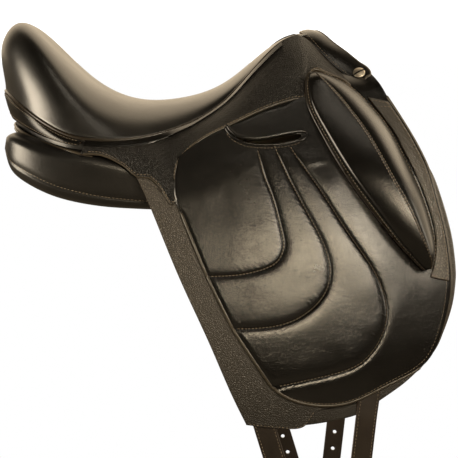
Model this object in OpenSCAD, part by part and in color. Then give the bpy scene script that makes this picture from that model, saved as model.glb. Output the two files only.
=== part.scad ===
// Dressage saddle with long girth straps and outside thigh blocks.
// X points to the pommel, Y to the horse's left and Z up. The origin is on the
// centre line, level with the panels' bearing faces, below the waist of the seat.

/* [Seat] */
// Height of the deepest point of the seat above the bearing level
seat_dip_z = 99; // [90:1:110]
// Height of the top of the cantle
cantle_top_z = 201; // [190:1:215]
// Height of the seat where it meets the pommel
pommel_z = 188; // [180:1:196]
// Half the width of the seat at its widest
seat_half_w = 142; // [134:1:148]
// Thickness of the seat leather
seat_t = 2; // [1.5:0.1:3]
// Thickness of the seat foam in the dip
foam_t = 22; // [14:1:24]
// Diameter of the piped welt round the seat
welt_d = 4.4; // [3:0.2:5]

/* [Leather] */
// Thickness of a skirt
skirt_t = 3; // [2:0.2:4]
// Thickness of a flap's base leather
flap_t = 3.5; // [2.5:0.1:5]
// Thickness of a sweat flap
sweat_t = 4; // [3:0.2:6]
// Thickness of the padded cover of a flap at its seams
cover_t = 3; // [2:0.2:4]
// Extra height of the padding between the seams
cover_puff = 5; // [2:0.5:8]
// Thickness of bands, facings and front strips
band_t = 2.6; // [2:0.1:3.5]
// Gap left between neighbouring layers
gap = 0.4; // [0.3:0.05:0.6]

/* [Flap] */
// Half the width across the sweat flaps at their lower edge
barrel_w = 212; // [195:1:225]
// Height at which the flap bends when it is lifted
bend_z = -118; // [-122:1:-116]
// Greatest height of a thigh block over the flap cover
block_h = 44; // [30:1:52]
// Height of the slot for the stirrup leather
slot_h = 13; // [10:0.5:15]

/* [Panel] */
// Half the thickness of a panel where it is fullest
panel_half_t = 31; // [26:1:33]
// Half the width of a panel where it is widest
panel_half_w = 60; // [54:1:62]

/* [Tree] */
// Half the width between the flaps at the stirrup bars, which the front of the tree follows
tree_half = 123; // [119:1:127]
// Width of a side rail
rail_w = 38; // [30:1:42]
// Thickness of the rails
rail_t = 9; // [7:0.5:10]
// Width of the head arch
head_w = 36; // [28:1:40]
// Thickness of the head arch
head_t = 10; // [8:0.5:12]
// Thickness of the steel plates and spring strips
plate_t = 1.8; // [1.2:0.1:2.4]

/* [Girth straps] */
// Width of a girth strap
strap_w = 26; // [22:1:30]
// Thickness of a girth strap
strap_t = 3.4; // [2.6:0.1:4]
// Length of the strap below the flap
strap_len = 230; // [200:5:260]
// Diameter of a buckle hole
hole_d = 5.5; // [4:0.5:7]
// Distance between buckle holes
hole_pitch = 25; // [20:1:28]

/* [Stirrup bar] */
// Length of the blade
bar_len = 62; // [56:1:68]
// Height of the blade
bar_h = 16; // [13:1:18]
// Thickness of the blade
bar_t = 5; // [4.4:0.2:6]
// Space for the stirrup leather behind the blade
bar_gap = 10; // [8.5:0.5:11]
// Diameter of the catch's hinge pin
pin_d = 3; // [2.4:0.1:3.4]

/* [Pommel screw] */
// Diameter of the screw head
screw_head_d = 15; // [12:0.5:16]
// Diameter of the screw shank
screw_d = 5; // [4:0.5:6]

/* [Hidden] */
$fn = 48;
ROUND = 6;              // sides of a piped welt
HOLES = 6;              // buckle holes in a strap
fit = 0.04;             // radial clearance of a pin in its bore
play = 0.15;            // side clearance of the catch in its fork
bar_level = 90;         // level of the stirrup bars
barrel_z = -290;        // level at which the flaps hang plumb
barrel_h = 491;         // height of the horse's side above that level
barrel_pow = 1.6;       // roundness of the horse's side
front_taper = 0.2;      // how much narrower the flaps stand 300 mm forward
pinch = 0.15;           // how far the top of the front draws in below the pommel
SIDES = ["left", "right"];
ENDS = ["front", "rear"];

// Offsets of the flap's layers from the inner face of the girth straps
sweat_out = 0;
strap_in = sweat_out + 2 * gap;
strap_out = strap_in + strap_t;
flap_in = strap_out + 2 * gap;
flap_out = flap_in + flap_t;
cover_in = flap_out + 2 * gap;
cover_out = cover_in + cover_t;
skirt_in = flap_out + gap;
strip_in = cover_out + 2 * gap;
strip_out = strip_in + band_t;

// Curves and grids

function lerp(a, b, t) = a + (b - a) * t;
function unit(v) = v / norm(v);
function clamp(t) = min(max(t, 0), 1);
function ease(t) = let (c = clamp(t)) c * c * (3 - 2 * c);

// Point at parameter u, from 0 to len - 1, on a smooth curve through points p
function curve_at(p, u) =
    let (n = len(p) - 1, i = min(floor(u), n - 1), t = u - i,
         a = p[max(i - 1, 0)], b = p[i], c = p[i + 1], d = p[min(i + 2, n)])
    0.5 * (2 * b + (c - a) * t + (2 * a - 5 * b + 4 * c - d) * t * t
           + (3 * b - a - 3 * c + d) * t * t * t);
function at(p, t) = curve_at(p, clamp(t) * (len(p) - 1));
function curve(p, n) = [for (k = [0:n]) at(p, k / n)];
function tangent(p, t) = unit(at(p, t + 0.01) - at(p, t - 0.01));

// Grid of points inside four edge curves; top and bottom run from rear to front
function patch(top, bottom, rear, front, rows, cols) =
    [for (i = [0:rows]) let (v = i / rows)
        [for (j = [0:cols]) let (u = j / cols)
            lerp(at(rear, v), at(front, v), u) + lerp(at(top, u), at(bottom, u), v)
            - lerp(lerp(rear[0], front[0], u),
                   lerp(rear[len(rear) - 1], front[len(front) - 1], u), v)]];

// Closed solid between two grids of points of the same size
module sheet(a, b) {
    r = len(a);
    c = len(a[0]);
    n = r * c;
    i = floor(r / 2);
    j = floor(c / 2);
    up = cross(a[i][j] - a[i - 1][j], a[i][j] - a[i][j - 1]) * (a[i][j] - b[i][j]) > 0;
    face = [for (i = [0:r - 2], j = [0:c - 2], k = [0, 1])
        let (p = i * c + j) k == 0 ? [p, p + 1, p + c + 1] : [p, p + c + 1, p + c]];
    back = [for (f = face) [f[2] + n, f[1] + n, f[0] + n]];
    edge = concat([for (j = [0:c - 1]) j], [for (i = [1:r - 1]) i * c + c - 1],
                  [for (j = [c - 2:-1:0]) (r - 1) * c + j], [for (i = [r - 2:-1:1]) i * c]);
    rim = [for (k = [0:len(edge) - 1], s = [0, 1])
        let (p = edge[k], q = edge[(k + 1) % len(edge)])
        s == 0 ? [p, p + n, q + n] : [p, q + n, q]];
    faces = concat(face, back, rim);
    polyhedron([each each a, each each b],
               up ? faces : [for (f = faces) [f[2], f[1], f[0]]], convexity = 8);
}

// Closed solid through rings of points, capped at both ends
module loft(rings) {
    m = len(rings);
    k = len(rings[0]);
    mid = floor(m / 2);
    c = [for (r = rings) [for (p = r) 1 / k] * r];
    along = rings[mid][0] - rings[mid - 1][0];
    round = rings[mid][1] - rings[mid][0];
    up = cross(along, round) * (rings[mid][0] - c[mid]) > 0;
    walls = [for (i = [0:m - 2], j = [0:k - 1], s = [0, 1])
        let (p = i * k + j, q = i * k + (j + 1) % k)
        s == 0 ? [p, q, q + k] : [p, q + k, p + k]];
    caps = concat([for (j = [0:k - 1]) [m * k, (j + 1) % k, j]],
                  [for (j = [0:k - 1]) let (b = (m - 1) * k) [m * k + 1, b + j, b + (j + 1) % k]]);
    faces = concat(walls, caps);
    polyhedron([each each rings, c[0], c[m - 1]],
               up ? faces : [for (f = faces) [f[2], f[1], f[0]]], convexity = 8);
}

// Round tube of radius r along the points of path
module tube(path, r) {
    m = len(path) - 1;
    loft([for (i = [0:m])
        let (t = unit(path[min(i + 1, m)] - path[max(i - 1, 0)]),
             a = unit(cross(t, [0.2, 0, 1])), b = cross(t, a))
        [for (k = [0:ROUND - 1]) path[i] + r * (a * cos(360 * k / ROUND) + b * sin(360 * k / ROUND))]]);
}

// The left piece as drawn, or its mirror image for the right
module on(which) {
    if (which == "left") children();
    else mirror([0, 1, 0]) children();
}

// The horse's side

function roundness(z) = sqrt(1 - pow(min(clamp((z - barrel_z) / barrel_h), 0.99), barrel_pow));
function side(x, z) =
    let (low = roundness(bar_level),
         w = lerp(tree_half, barrel_w, (roundness(z) - low) / (1 - low)),
         taper = 1 - front_taper * pow(max(x, 0) / 300, 2),
         draw = 1 - pinch * ease((x - 20) / 180) * ease((z - 10) / 130))
    w * taper * draw;

// Place on the side of the saddle of p = [x, z], d outside the sweat flap
function on_side(p, d) = [p[0], side(p[0], p[1]) + d, p[1]];
function on_sides(g, d) = [for (r = g) [for (p = r) on_side(p, d)]];

// Seat surface

// Centre line from the pommel over the cantle, [x, z]
seat_mid = [[90, pommel_z], [60, pommel_z - 13], [22, pommel_z - 45], [-20, seat_dip_z + 14],
            [-75, seat_dip_z + 1], [-130, seat_dip_z + 1], [-185, seat_dip_z + 27],
            [-232, cantle_top_z - 28], [-269, cantle_top_z], [-293, cantle_top_z - 23],
            [-296, cantle_top_z - 51], [-290, 116]];
// Edge of the seat opposite each of those points, [x, y, z]
seat_edge = [[90, 46, 185], [60, 59, 171], [20, 76, 130], [-20, 96, 93], [-75, 123, 69],
             [-125, seat_half_w - 3, 60], [-165, seat_half_w, 60], [-200, seat_half_w - 6, 66],
             [-235, 118, 83], [-264, 84, 101], [-283, 42, 113], [-290, 12, 115]];
SEAT_ROWS = 26;
SEAT_COLS = 12;

// Point of the seat: s runs from pommel to cantle back, t from the centre to the edge
function seat_at(s, t) =
    let (m = at(seat_mid, s), e = at(seat_edge, s), fall = 0.2 * t * t + 0.8 * pow(abs(t), 3.2))
    [lerp(m[0], e[0], t * t), e[1] * (1.12 * t - 0.12 * pow(t, 3)), lerp(m[1], e[2], fall)];
function seat_normal(s, t) =
    unit(cross(seat_at(s, t + 0.01) - seat_at(s, t - 0.01), seat_at(s + 0.005, t) - seat_at(s - 0.005, t)));
function mirrored(p) = [p[0], -p[1], p[2]];
function seat_in(s, t, d) =
    let (v = abs(t), p = seat_at(s, v) - d * seat_normal(s, v)) t < 0 ? mirrored(p) : p;

// Rows i0 to i1 and columns j0 to j1 of the seat's grid, each point lowered by depth(s, t)
function seat_rows(i0, i1, j0, j1, depth) =
    [for (i = [i0:i1]) [for (j = [j0:j1]) let (s = 0.99 * i / SEAT_ROWS, t = 2 * j / SEAT_COLS - 1)
        seat_in(s, t, depth(s, t))]];
function foam_at(s, t) =
    let (body = lerp(4, foam_t, ease(s * 3.2)) * (1 - 0.55 * ease((s - 0.5) * 4)))
    lerp(body, 3, pow(abs(t), 2));
foam_top = seat_t + gap;
web_t = 2;
board_t = 6;

module seat_cover() {
    color([0.06, 0.055, 0.05])
        sheet(seat_rows(0, SEAT_ROWS, 0, SEAT_COLS, function(s, t) 0),
              seat_rows(0, SEAT_ROWS, 0, SEAT_COLS, function(s, t) seat_t));
}

module seat_foam() {
    color([0.85, 0.8, 0.6])
        sheet(seat_rows(0, SEAT_ROWS, 0, SEAT_COLS, function(s, t) foam_top),
              seat_rows(0, SEAT_ROWS, 0, SEAT_COLS, function(s, t) foam_top + foam_at(s, t)));
}

module seat_webs() {
    color([0.75, 0.7, 0.6]) for (which = SIDES) on(which)
        sheet(seat_rows(2, 15, 7, 8, function(s, t) foam_top + gap + foam_at(s, t)),
              seat_rows(2, 15, 7, 8, function(s, t) foam_top + gap + web_t + foam_at(s, t)));
}

// Line along the edge of the seat from s0 to s1, d further out over its side
function edge_point(s, d) = let (p = seat_at(s, 1)) p + d * unit(p - seat_at(s, 0.985));
function edge_line(s0, s1, n, d) = [for (i = [0:n]) edge_point(lerp(s0, s1, i / n), d)];

module seat_welt() {
    n = SEAT_ROWS;
    half = edge_line(0, 0.99, n, welt_d / 2 + 2 * gap);
    color([0.05, 0.045, 0.04]) tube(concat(half, [for (i = [n:-1:0]) mirrored(half[i])]), welt_d / 2);
}

// Skirts

// Lower edge of a skirt, from its rear end to the pommel screw, [x, z]
skirt_low = [[-181, 41], [-155, 40], [-128, 30], [-112, 15], [-92, 7], [-76, -8], [-69, -17], [-64, -6],
             [-66, 18], [-58, 34], [-32, 53], [5, 71], [45, 89], [78, 103], [94, 108],
             [97, 130], [107, 142], [124, 137], [141, 130], [152, 122]];
// Upper edge of a skirt: it runs along the seat, then along the pommel band, [x, y, z]
skirt_drop = welt_d + 4 * gap;
band_seam = [[103, 53, 174], [117, 61, 158], [130, 68, 145], [142, 74, 134], [152, 79, 126]];
skirt_top = concat(edge_line(0.58, 0.005, 14, skirt_drop), band_seam);

module skirt(which) {
    rows = 4;
    cols = 38;
    top = curve(skirt_top, cols);
    low = curve(skirt_low, cols);
    function line(j, d) = [for (i = [0:rows]) let (v = i / rows, b = on_side(low[j], skirt_in), a = top[j],
        out = unit(cross([1, 0, 0], b - a)),
        bow = 0.08 * norm(b - a) * sin(180 * v))
        lerp(a, b, v) + (bow + d) * lerp([0, out[1], out[2]], [0, 1, 0], v)];
    color([0.09, 0.085, 0.08]) on(which)
        sheet([for (j = [0:cols]) line(j, skirt_t)], [for (j = [0:cols]) line(j, 0)]);
}

// Pommel

// Rear and front edges of the pommel band from the centre line to its tip
pommel_rear = [[91, 0, pommel_z + 3.5], [92, 24, pommel_z + 2.5], [97, 46, 184], [110, 55, 168],
               [126, 64, 150], [142, 72, 136], [154, 78, 128.5], [163, 82, 126], [171, 83, 128]];
pommel_front = [[112, 0, pommel_z + 2], [114, 14, pommel_z + 2], [121, 28, pommel_z - 3], [134, 41, 173],
                [150, 52, 161], [165, 62, 149], [174, 69, 143], [178, 75, 138], [178, 79, 133]];
POMMEL_COLS = 16;

function pommel_normal(t) =
    unit(cross(at(pommel_front, t) - at(pommel_rear, t), tangent(pommel_rear, t) + tangent(pommel_front, t)));
function pommel_point(t, v, d) =
    lerp(at(pommel_rear, t), at(pommel_front, t), v) + pommel_normal(t) * (1.6 * sin(180 * v) - d);
function pommel_line(t, d) = [for (v = [0:1/3:1.01]) pommel_point(t, v, d)];

// Place of a pommel screw along the band and across it
screw_dir = pommel_normal(0.74);
screw_at = pommel_point(0.74, 0.5, 0);
screw_depth = 22;
screw_seat = 0.5;       // room under the screw's head for the curve of the band

// Children turned so that their z axis runs out of the pommel at the screw
module at_screw() {
    yaw = atan2(screw_dir[1], screw_dir[0]);
    translate(screw_at) rotate([0, acos(screw_dir[2]), yaw]) children();
}

module pommel_band() {
    half = [for (i = [0:POMMEL_COLS]) i / POMMEL_COLS];
    function across(d) =
        concat([for (i = [POMMEL_COLS:-1:1]) [for (p = pommel_line(half[i], d)) mirrored(p)]],
               [for (t = half) pommel_line(t, d)]);
    color([0.07, 0.065, 0.06]) difference() {
        sheet(across(0), across(band_t));
        for (which = SIDES) on(which) at_screw() cylinder(d = screw_d + 2 * fit, h = 40, center = true);
    }
}

module pommel_screws() {
    head_h = 3.2;
    slot_w = 1.8;
    r = screw_head_d / 2;
    round = 1.2;
    color([0.75, 0.72, 0.66]) for (which = SIDES) on(which) at_screw() difference() {
        union() {
            translate([0, 0, screw_seat]) rotate_extrude()
                polygon([[0, 0], [r, 0], [r, round], [r - round, head_h - round / 2], [0, head_h]]);
            translate([0, 0, screw_seat - screw_depth]) cylinder(d = screw_d, h = screw_depth + 0.5);
        }
        translate([-2 * r, -slot_w / 2, screw_seat + head_h - 1.3]) cube([4 * r, slot_w, 5]);
    }
}

// Cantle

// Lower edge of the cantle band, from its side end to the centre of the back
band_low = [[-184, 143.5, 51], [-203, 139.5, 53.5], [-227, 125, 60], [-251, 99, 69], [-270, 62, 77],
            [-278, 30, 80], [-280, 0, 80.5]];
CANTLE_COLS = 16;

function cantle_lines(top, low, d) =
    let (n = len(top) - 1,
         half = [for (i = [0:n]) let (a = top[i], b = low[i], f = top[min(i + 1, n)] - top[max(i - 1, 0)],
             o = unit(cross(f, b - a)))
             [for (v = [0, 0.5, 1]) lerp(a, b, v) + o * (1.5 * sin(180 * v) - d)]])
    concat(half, [for (i = [n - 1:-1:0]) [for (p = half[i]) mirrored(p)]]);

function back_line(s0, d) = let (e = edge_line(s0, 0.985, CANTLE_COLS - 1, d), z = e[CANTLE_COLS - 1][2])
    concat(e, [[e[CANTLE_COLS - 1][0] - 0.5, 0, z]]);

module cantle_band() {
    top = back_line(0.592, skirt_drop);
    low = curve(band_low, CANTLE_COLS);
    color([0.07, 0.065, 0.06]) sheet(cantle_lines(top, low, 0), cantle_lines(top, low, band_t));
}

// Set-back facing between the cantle band and the panels
facing_low = [[-176, 137, 40], [-200, 131, 43], [-224, 116, 50], [-246, 92, 59], [-262, 58, 65.5],
              [-269, 28, 67], [-270, 0, 67]];

module rear_facing() {
    rise = 17.4;
    low = curve(facing_low, CANTLE_COLS);
    top = [for (p = low) p + [0, 0, rise]];
    color([0.05, 0.045, 0.04]) sheet(cantle_lines(top, low, 0), cantle_lines(top, low, band_t));
}

// Panels

// Half the width between the flaps at the bearing level
rib_half = side(0, 0);
// Panel stations: x, centre y, centre z, half width and half thickness against the fullest ones, slope
panel_at = [for (p = [[-279, 84, 44, 18 - panel_half_w, 12 - panel_half_t, 4], [-270, 86, 38, -24, -9, 5],
                      [-248, 88, 29, -10, -2.5, 6], [-212, 90, 15, -3, 0, 8], [-165, 91, 5, 0, 0, 10],
                      [-120, 91, 1, 0, -2, 12], [-60, rib_half - 67, 1, -1, -4, 17],
                      [0, rib_half - 63, 7, -2, -8, 26],
                      [50, tree_half - 26, 17, -6, -11, 36], [100, tree_half - 31, 28, -10, -15, 48],
                      [138, tree_half - 34, 34, -14, -19, 56],
                      [156, tree_half - 34, 36, -24, 8 - panel_half_t, 58]])
    [p[0], p[1], p[2], panel_half_w + p[3], panel_half_t + p[4], p[5]]];
PANEL_RINGS = 22;
PANEL_SIDES = 16;

function panel_ring(p) =
    [for (k = [0:PANEL_SIDES - 1])
        let (a = 360 * k / PANEL_SIDES, c = cos(a), s = sin(a),
             u = p[3] * sign(c) * pow(abs(c), 0.72), v = p[4] * sign(s) * pow(abs(s), 0.72))
        [p[0], p[1] + u * cos(p[5]) + v * sin(p[5]), p[2] - u * sin(p[5]) + v * cos(p[5])]];

module panel(which) {
    color([0.07, 0.065, 0.06]) on(which) loft([for (p = curve(panel_at, PANEL_RINGS)) panel_ring(p)]);
}

// Leather lining over the channel between the panels
module gullet_lining() {
    cols = 6;
    arch = 7;
    stations = [[-268, 36, 62], [-225, 33, 44], [-165, 31, 33], [-100, 31, 30], [-40, 34, 34],
                [20, tree_half - 85, 48], [70, tree_half - 81, 66], [110, tree_half - 79, 82],
                [140, tree_half - 75, 90]];
    function row(p, d) = [for (j = [0:cols]) let (a = lerp(-1, 1, j / cols))
        [p[0], (p[1] + d) * a, p[2] + d + arch * (1 - a * a)]];
    path = curve(stations, 16);
    color([0.08, 0.075, 0.07]) sheet([for (p = path) row(p, band_t)], [for (p = path) row(p, 0)]);
}

// Tree

// Rail stations: x, y, z and slope
rail_at = [[126.5, tree_half - 45, 111, 60], [80, tree_half - 37, 91, 54], [30, tree_half - 37, 75, 42],
           [-30, tree_half - 35, 59, 28], [-90, 95, 49, 14], [-150, 101, 47, 8], [-200, 98, 53, 4],
           [-228, 87, 62, 2]];

function rail_box(p, w, d0, d1) =
    let (a = [0, cos(p[3]), -sin(p[3])] * w / 2, n = [0, sin(p[3]), cos(p[3])], c = [p[0], p[1], p[2]])
    [c - a + n * d0, c + a + n * d0, c + a + n * d1, c - a + n * d1];

module tree_rail(which) {
    color([0.75, 0.6, 0.4]) on(which) difference() {
        loft([for (p = curve(rail_at, 20)) rail_box(p, rail_w, -rail_t / 2, rail_t / 2)]);
        at_bar() bar_rivet_bores();
    }
}

module spring_strip(which) {
    strip_w = 22;
    low = -rail_t / 2 - gap;
    color([0.55, 0.56, 0.58]) on(which) difference() {
        loft([for (p = curve(rail_at, 20)) rail_box(p, strip_w, low - plate_t, low)]);
        at_bar() bar_rivet_bores();
    }
}

// Head arch from the centre of the crown to the point of the tree; it spreads with tree_half
head_at = [for (p = [[102, 0, 170.8], [107, 0.187, 167.2], [123, 0.3415, 152], [141, 0.4553, 135],
                     [153, 0.5772, 112], [158, 0.7154, 84], [159, 0.8455, 56], [156, 0.935, 32]])
    [p[0], tree_half * p[1], p[2]]];

function head_box(t, w, d0, d1) =
    let (p = at(head_at, t), f = t < 0.02 ? [0, 1, 0] : tangent(head_at, t),
         n = unit(cross(cross(f, [0, p[1] + 8, 40 * (1 - t)]), f)), a = unit(cross(f, n)) * w / 2)
    [p - a + n * d0, p + a + n * d0, p + a + n * d1, p - a + n * d1];

HEAD_ROWS = 16;

// Arch of width w from d0 to d1 off the middle of the head, over its upper k of HEAD_ROWS rows each side;
// order turns the corners so that a plate's facets match those of the face it lies on
module arch(w, d0, d1, k, order) {
    half = [for (i = [0:k]) let (b = head_box(i / HEAD_ROWS, w, d0, d1)) [for (j = order) b[j]]];
    loft(concat([for (i = [k:-1:1]) [for (p = half[i]) mirrored(p)]], half));
}

module tree_head() {
    color([0.75, 0.6, 0.4]) difference() {
        arch(head_w, -head_t / 2, head_t / 2, HEAD_ROWS, [0, 1, 2, 3]);
        for (which = SIDES) on(which) at_screw()
            translate([0, 0, -screw_depth - 2]) cylinder(d = screw_d + 2 * fit, h = screw_depth + 40);
    }
}

module head_plate() {
    color([0.5, 0.51, 0.53]) arch(head_w, head_t / 2 + gap, head_t / 2 + gap + plate_t, 5, [1, 0, 3, 2]);
}

module gullet_plate() {
    color([0.5, 0.51, 0.53]) arch(head_w, -head_t / 2 - gap - plate_t, -head_t / 2 - gap, 6, [1, 0, 3, 2]);
}

module tree_cantle() {
    top = foam_top + gap;
    color([0.75, 0.6, 0.4])
        sheet(seat_rows(17, 24, 1, SEAT_COLS - 1, function(s, t) top + foam_at(s, t)),
              seat_rows(17, 24, 1, SEAT_COLS - 1, function(s, t) top + board_t + foam_at(s, t)));
}

// Stirrup bars

bar_at = curve_at(rail_at, 0.82);
bar_run = curve_at(rail_at, 1.2) - curve_at(rail_at, 0.7);
bar_along = unit([bar_run[0], bar_run[1], bar_run[2]]);
bar_tilt = asin(bar_along * [0, sin(bar_at[3]), cos(bar_at[3])]);
bar_turn = atan2(bar_along * [0, cos(bar_at[3]), -sin(bar_at[3])], -bar_along[0]);
bar_plate = [30, 24, 3.5];
bar_seat = 1.1;         // room under the plate for the twist of the rail
rivet_d = 5;
rivet_x = [-2.5, 9];

// Children with x back along the rail, y down across it and z out of its outer face
module at_bar() {
    translate([bar_at[0], bar_at[1], bar_at[2]]) rotate([-bar_at[3], 0, 0]) rotate([0, bar_tilt, -bar_turn])
        translate([0, 0, rail_t / 2 + bar_seat]) mirror([1, 0, 0]) children();
}

module bar_rivet_bores() {
    reach = 3 * rail_t;
    for (x = rivet_x) translate([x, 0, -reach]) cylinder(d = rivet_d + 2 * fit, h = 2 * reach);
}

module stirrup_bar(which) {
    z0 = bar_plate[2] + bar_gap;
    x0 = -bar_plate[0] / 2;
    pin_x = bar_len - bar_h / 2;
    fork = bar_t / 3 + 2 * play;
    fork_root = bar_h / 2 + 1.5;
    color([0.72, 0.72, 0.74]) on(which) at_bar() difference() {
        union() {
            translate([x0, -bar_plate[1] / 2, 0]) cube(bar_plate);
            translate([x0, -bar_h / 2, 0]) cube([7, bar_h, z0 + bar_t]);
            translate([x0, -bar_h / 2, z0]) cube([pin_x - x0, bar_h, bar_t]);
            translate([pin_x, 0, z0]) cylinder(d = bar_h, h = bar_t);
        }
        bar_rivet_bores();
        translate([pin_x, 0, z0 - 1]) cylinder(d = pin_d, h = bar_t + 2);
        translate([pin_x - fork_root, -bar_h, z0 + bar_t / 2 - fork / 2]) cube([2 * bar_h, 2 * bar_h, fork]);
    }
}

module bar_pin(which) {
    z0 = bar_plate[2] + bar_gap;
    color([0.6, 0.6, 0.62]) on(which) at_bar()
        translate([bar_len - bar_h / 2, 0, z0]) cylinder(d = pin_d - 2 * fit, h = bar_t);
}

module bar_catch(which) {
    z0 = bar_plate[2] + bar_gap;
    tongue = bar_t / 3;
    reach = 20;
    thumb = 8;
    root = bar_h / 2 - 0.6;
    heel = bar_h / 2 + 1;
    color([0.72, 0.72, 0.74]) on(which) at_bar() translate([bar_len - bar_h / 2, 0, z0 + bar_t / 2])
        difference() {
            union() {
                translate([0, 0, -tongue / 2]) cylinder(r = root, h = tongue);
                translate([0, -root, -tongue / 2]) cube([reach - thumb, 2 * root, tongue]);
                translate([heel, -root, -bar_t / 2]) cube([reach - heel - thumb / 2, 2 * root, bar_t]);
                translate([reach - thumb / 2, 0, -bar_t / 2]) cylinder(r = root, h = bar_t);
            }
            cylinder(d = pin_d, h = 2 * bar_t, center = true);
        }
}

module bar_rivets() {
    grip = bar_plate[2] + bar_seat + rail_t + gap + plate_t;
    color([0.6, 0.6, 0.62]) for (which = SIDES) on(which) at_bar() for (x = rivet_x) translate([x, 0, 0]) {
        translate([0, 0, bar_plate[2] - grip]) cylinder(d = rivet_d, h = grip + 0.6);
        translate([0, 0, bar_plate[2] + gap]) cylinder(d1 = rivet_d + 4, d2 = rivet_d, h = 2.2);
    }
}

// Sweat flaps and girth straps

sweat_top = [[-85, 14], [-20, 14], [60, 22], [130, 44], [186, 66]];
sweat_bottom = [[36, -279], [66, -284], [94, -284], [130, -279], [158, -272], [183, -257], [212, -238],
                [230, -223]];
sweat_rear = [[-85, 14], [-50, -88], [-12, -176], [36, -279]];
sweat_front = [[186, 66], [236, 36], [258, -4], [274, -58], [280, -105], [270, -148], [254, -188],
               [230, -223]];

// How far the sweat flap draws in towards the panel
function drawn_in(x, z) = 26 * pow(clamp((z + 40) / 110), 1.5) * (1 - ease((x - 40) / 90));

module sweat_flap(which) {
    g = patch(sweat_top, sweat_bottom, sweat_rear, sweat_front, 14, 8);
    function face(d) = [for (r = g) [for (p = r) on_side(p, d - drawn_in(p[0], p[1]))]];
    color([0.08, 0.075, 0.07]) on(which) sheet(face(sweat_out), face(sweat_out - sweat_t));
}

// Middle line of each strap down to where it leaves the flap, [x, z]
strap_line = [[[160, 30], [171, -70], [176.1, -190], [167, -277]],
              [[-45, 6], [-15, -94], [14.4, -191], [45, -291]]];
strap_exit = [for (l = strap_line) l[3]];
strap_lean = [for (l = strap_line) atan2(l[3][0] - l[2][0], l[2][1] - l[3][1])];
function strap_yaw(end) = let (p = strap_exit[end]) atan((side(p[0] - 1, p[1]) - side(p[0] + 1, p[1])) / 2);

module girth_strap_top(which, end) {
    rows = 14;
    stop = strap_exit[end][1] + strap_t / 2 + gap;
    line = strap_line[end];
    function face(d) = [for (i = [0:rows]) let (t = i / rows, f = tangent(line, t), m = at(line, t),
        end_shift = i == rows ? (stop - m[1]) / f[1] : 0)
        [for (s = [-1, 1]) let (p = m + end_shift * f + s * [-f[1], f[0]] * strap_w / 2)
            on_side(p, d - 0.9 * drawn_in(p[0], p[1]))]];
    color([0.12, 0.08, 0.06]) on(which) sheet(face(strap_out), face(strap_in));
}

// Children with x across the strap, y outwards and -z down its length, at its hinge line
module at_strap(end) {
    p = on_side(strap_exit[end], strap_in + strap_t / 2);
    translate(p) rotate([0, 0, -strap_yaw(end)]) rotate([0, -strap_lean[end], 0]) children();
}

module girth_strap(which, end) {
    tip = 16;
    half = strap_w / 2;
    first = strap_len - tip - 22;
    color([0.12, 0.08, 0.06]) on(which) at_strap(end) difference() {
        union() {
            rotate([90, 0, 0]) translate([0, 0, -strap_t / 2]) linear_extrude(strap_t)
                polygon([[-half, 0], [half, 0], [half, tip - strap_len], [half / 3, -strap_len],
                         [-half / 3, -strap_len], [-half, tip - strap_len]]);
            rotate([0, 90, 0]) cylinder(d = strap_t, h = strap_w, center = true);
        }
        for (i = [0:HOLES - 1]) translate([0, 0, i * hole_pitch - first])
            rotate([90, 0, 0]) cylinder(d = hole_d, h = 2 * strap_t, center = true);
    }
}

// Flaps

flap_top = [[-114, 17], [-94, 9], [-78, -7], [-59, -8], [-49, 31], [-29, 51.5], [5, 69.5], [45, 87.5],
            [90, 106], [150, 117], [196, 110]];
flap_bottom = [[25, -281], [58, -285], [88, -285], [106, -266], [132, -258], [164, -250], [193, -235],
               [214, -223], [231, -219]];
flap_rear = [[-114, 17], [-95, -16], [-58, -102], [-22, -178], [6, -242], [25, -281]];
flap_front = [[196, 110], [213, 79], [233, 46], [251, -16], [266, -62], [270, -112], [268, -148], [254, -190],
              [231, -219]];
// Middle line of the slot for the stirrup leather, from its rear end, [x, z]
slot_mid = [[8, 66], [24, 57.5], [50, 55.5], [74, 59], [90, 63]];

// Room round the slot in the flap's base, hidden below the cover: at its sides and past its front end
slot_room = 4;
slot_reach = 18;

module slot_cut(room = 0, reach = 0) {
    n = 12;
    ends = len(slot_mid) - 1;
    mid = curve([for (i = [0:ends]) slot_mid[i] + [reach * i / ends, 0]], n);
    half = [for (i = [0:n]) (slot_h / 2 + room) * sqrt(max(0, 1 - pow(abs(2 * i / n - 1), 4))) + 0.5];
    ring = concat([for (i = [0:n]) mid[i] - [0, half[i]]], [for (i = [n:-1:0]) mid[i] + [0, half[i]]]);
    translate([0, 1.2 * barrel_w, 0]) rotate([90, 0, 0]) linear_extrude(barrel_w) polygon(ring);
}

// Half-spaces above and below the bend
far = 800;
module above_bend() { translate([-far / 2, 0, bend_z + gap]) cube(far); }
module below_bend() { translate([-far / 2, 0, bend_z - gap - far]) cube(far); }

module flap_base() {
    g = patch(flap_top, flap_bottom, flap_rear, flap_front, 16, 10);
    sheet(on_sides(g, flap_out), on_sides(g, flap_in));
}

module flap_upper(which) {
    color([0.09, 0.085, 0.08]) on(which) difference() {
        intersection() { flap_base(); above_bend(); }
        slot_cut(slot_room, slot_reach);
    }
}

module flap_lower(which) {
    color([0.09, 0.085, 0.08]) on(which) intersection() { flap_base(); below_bend(); }
}

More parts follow.
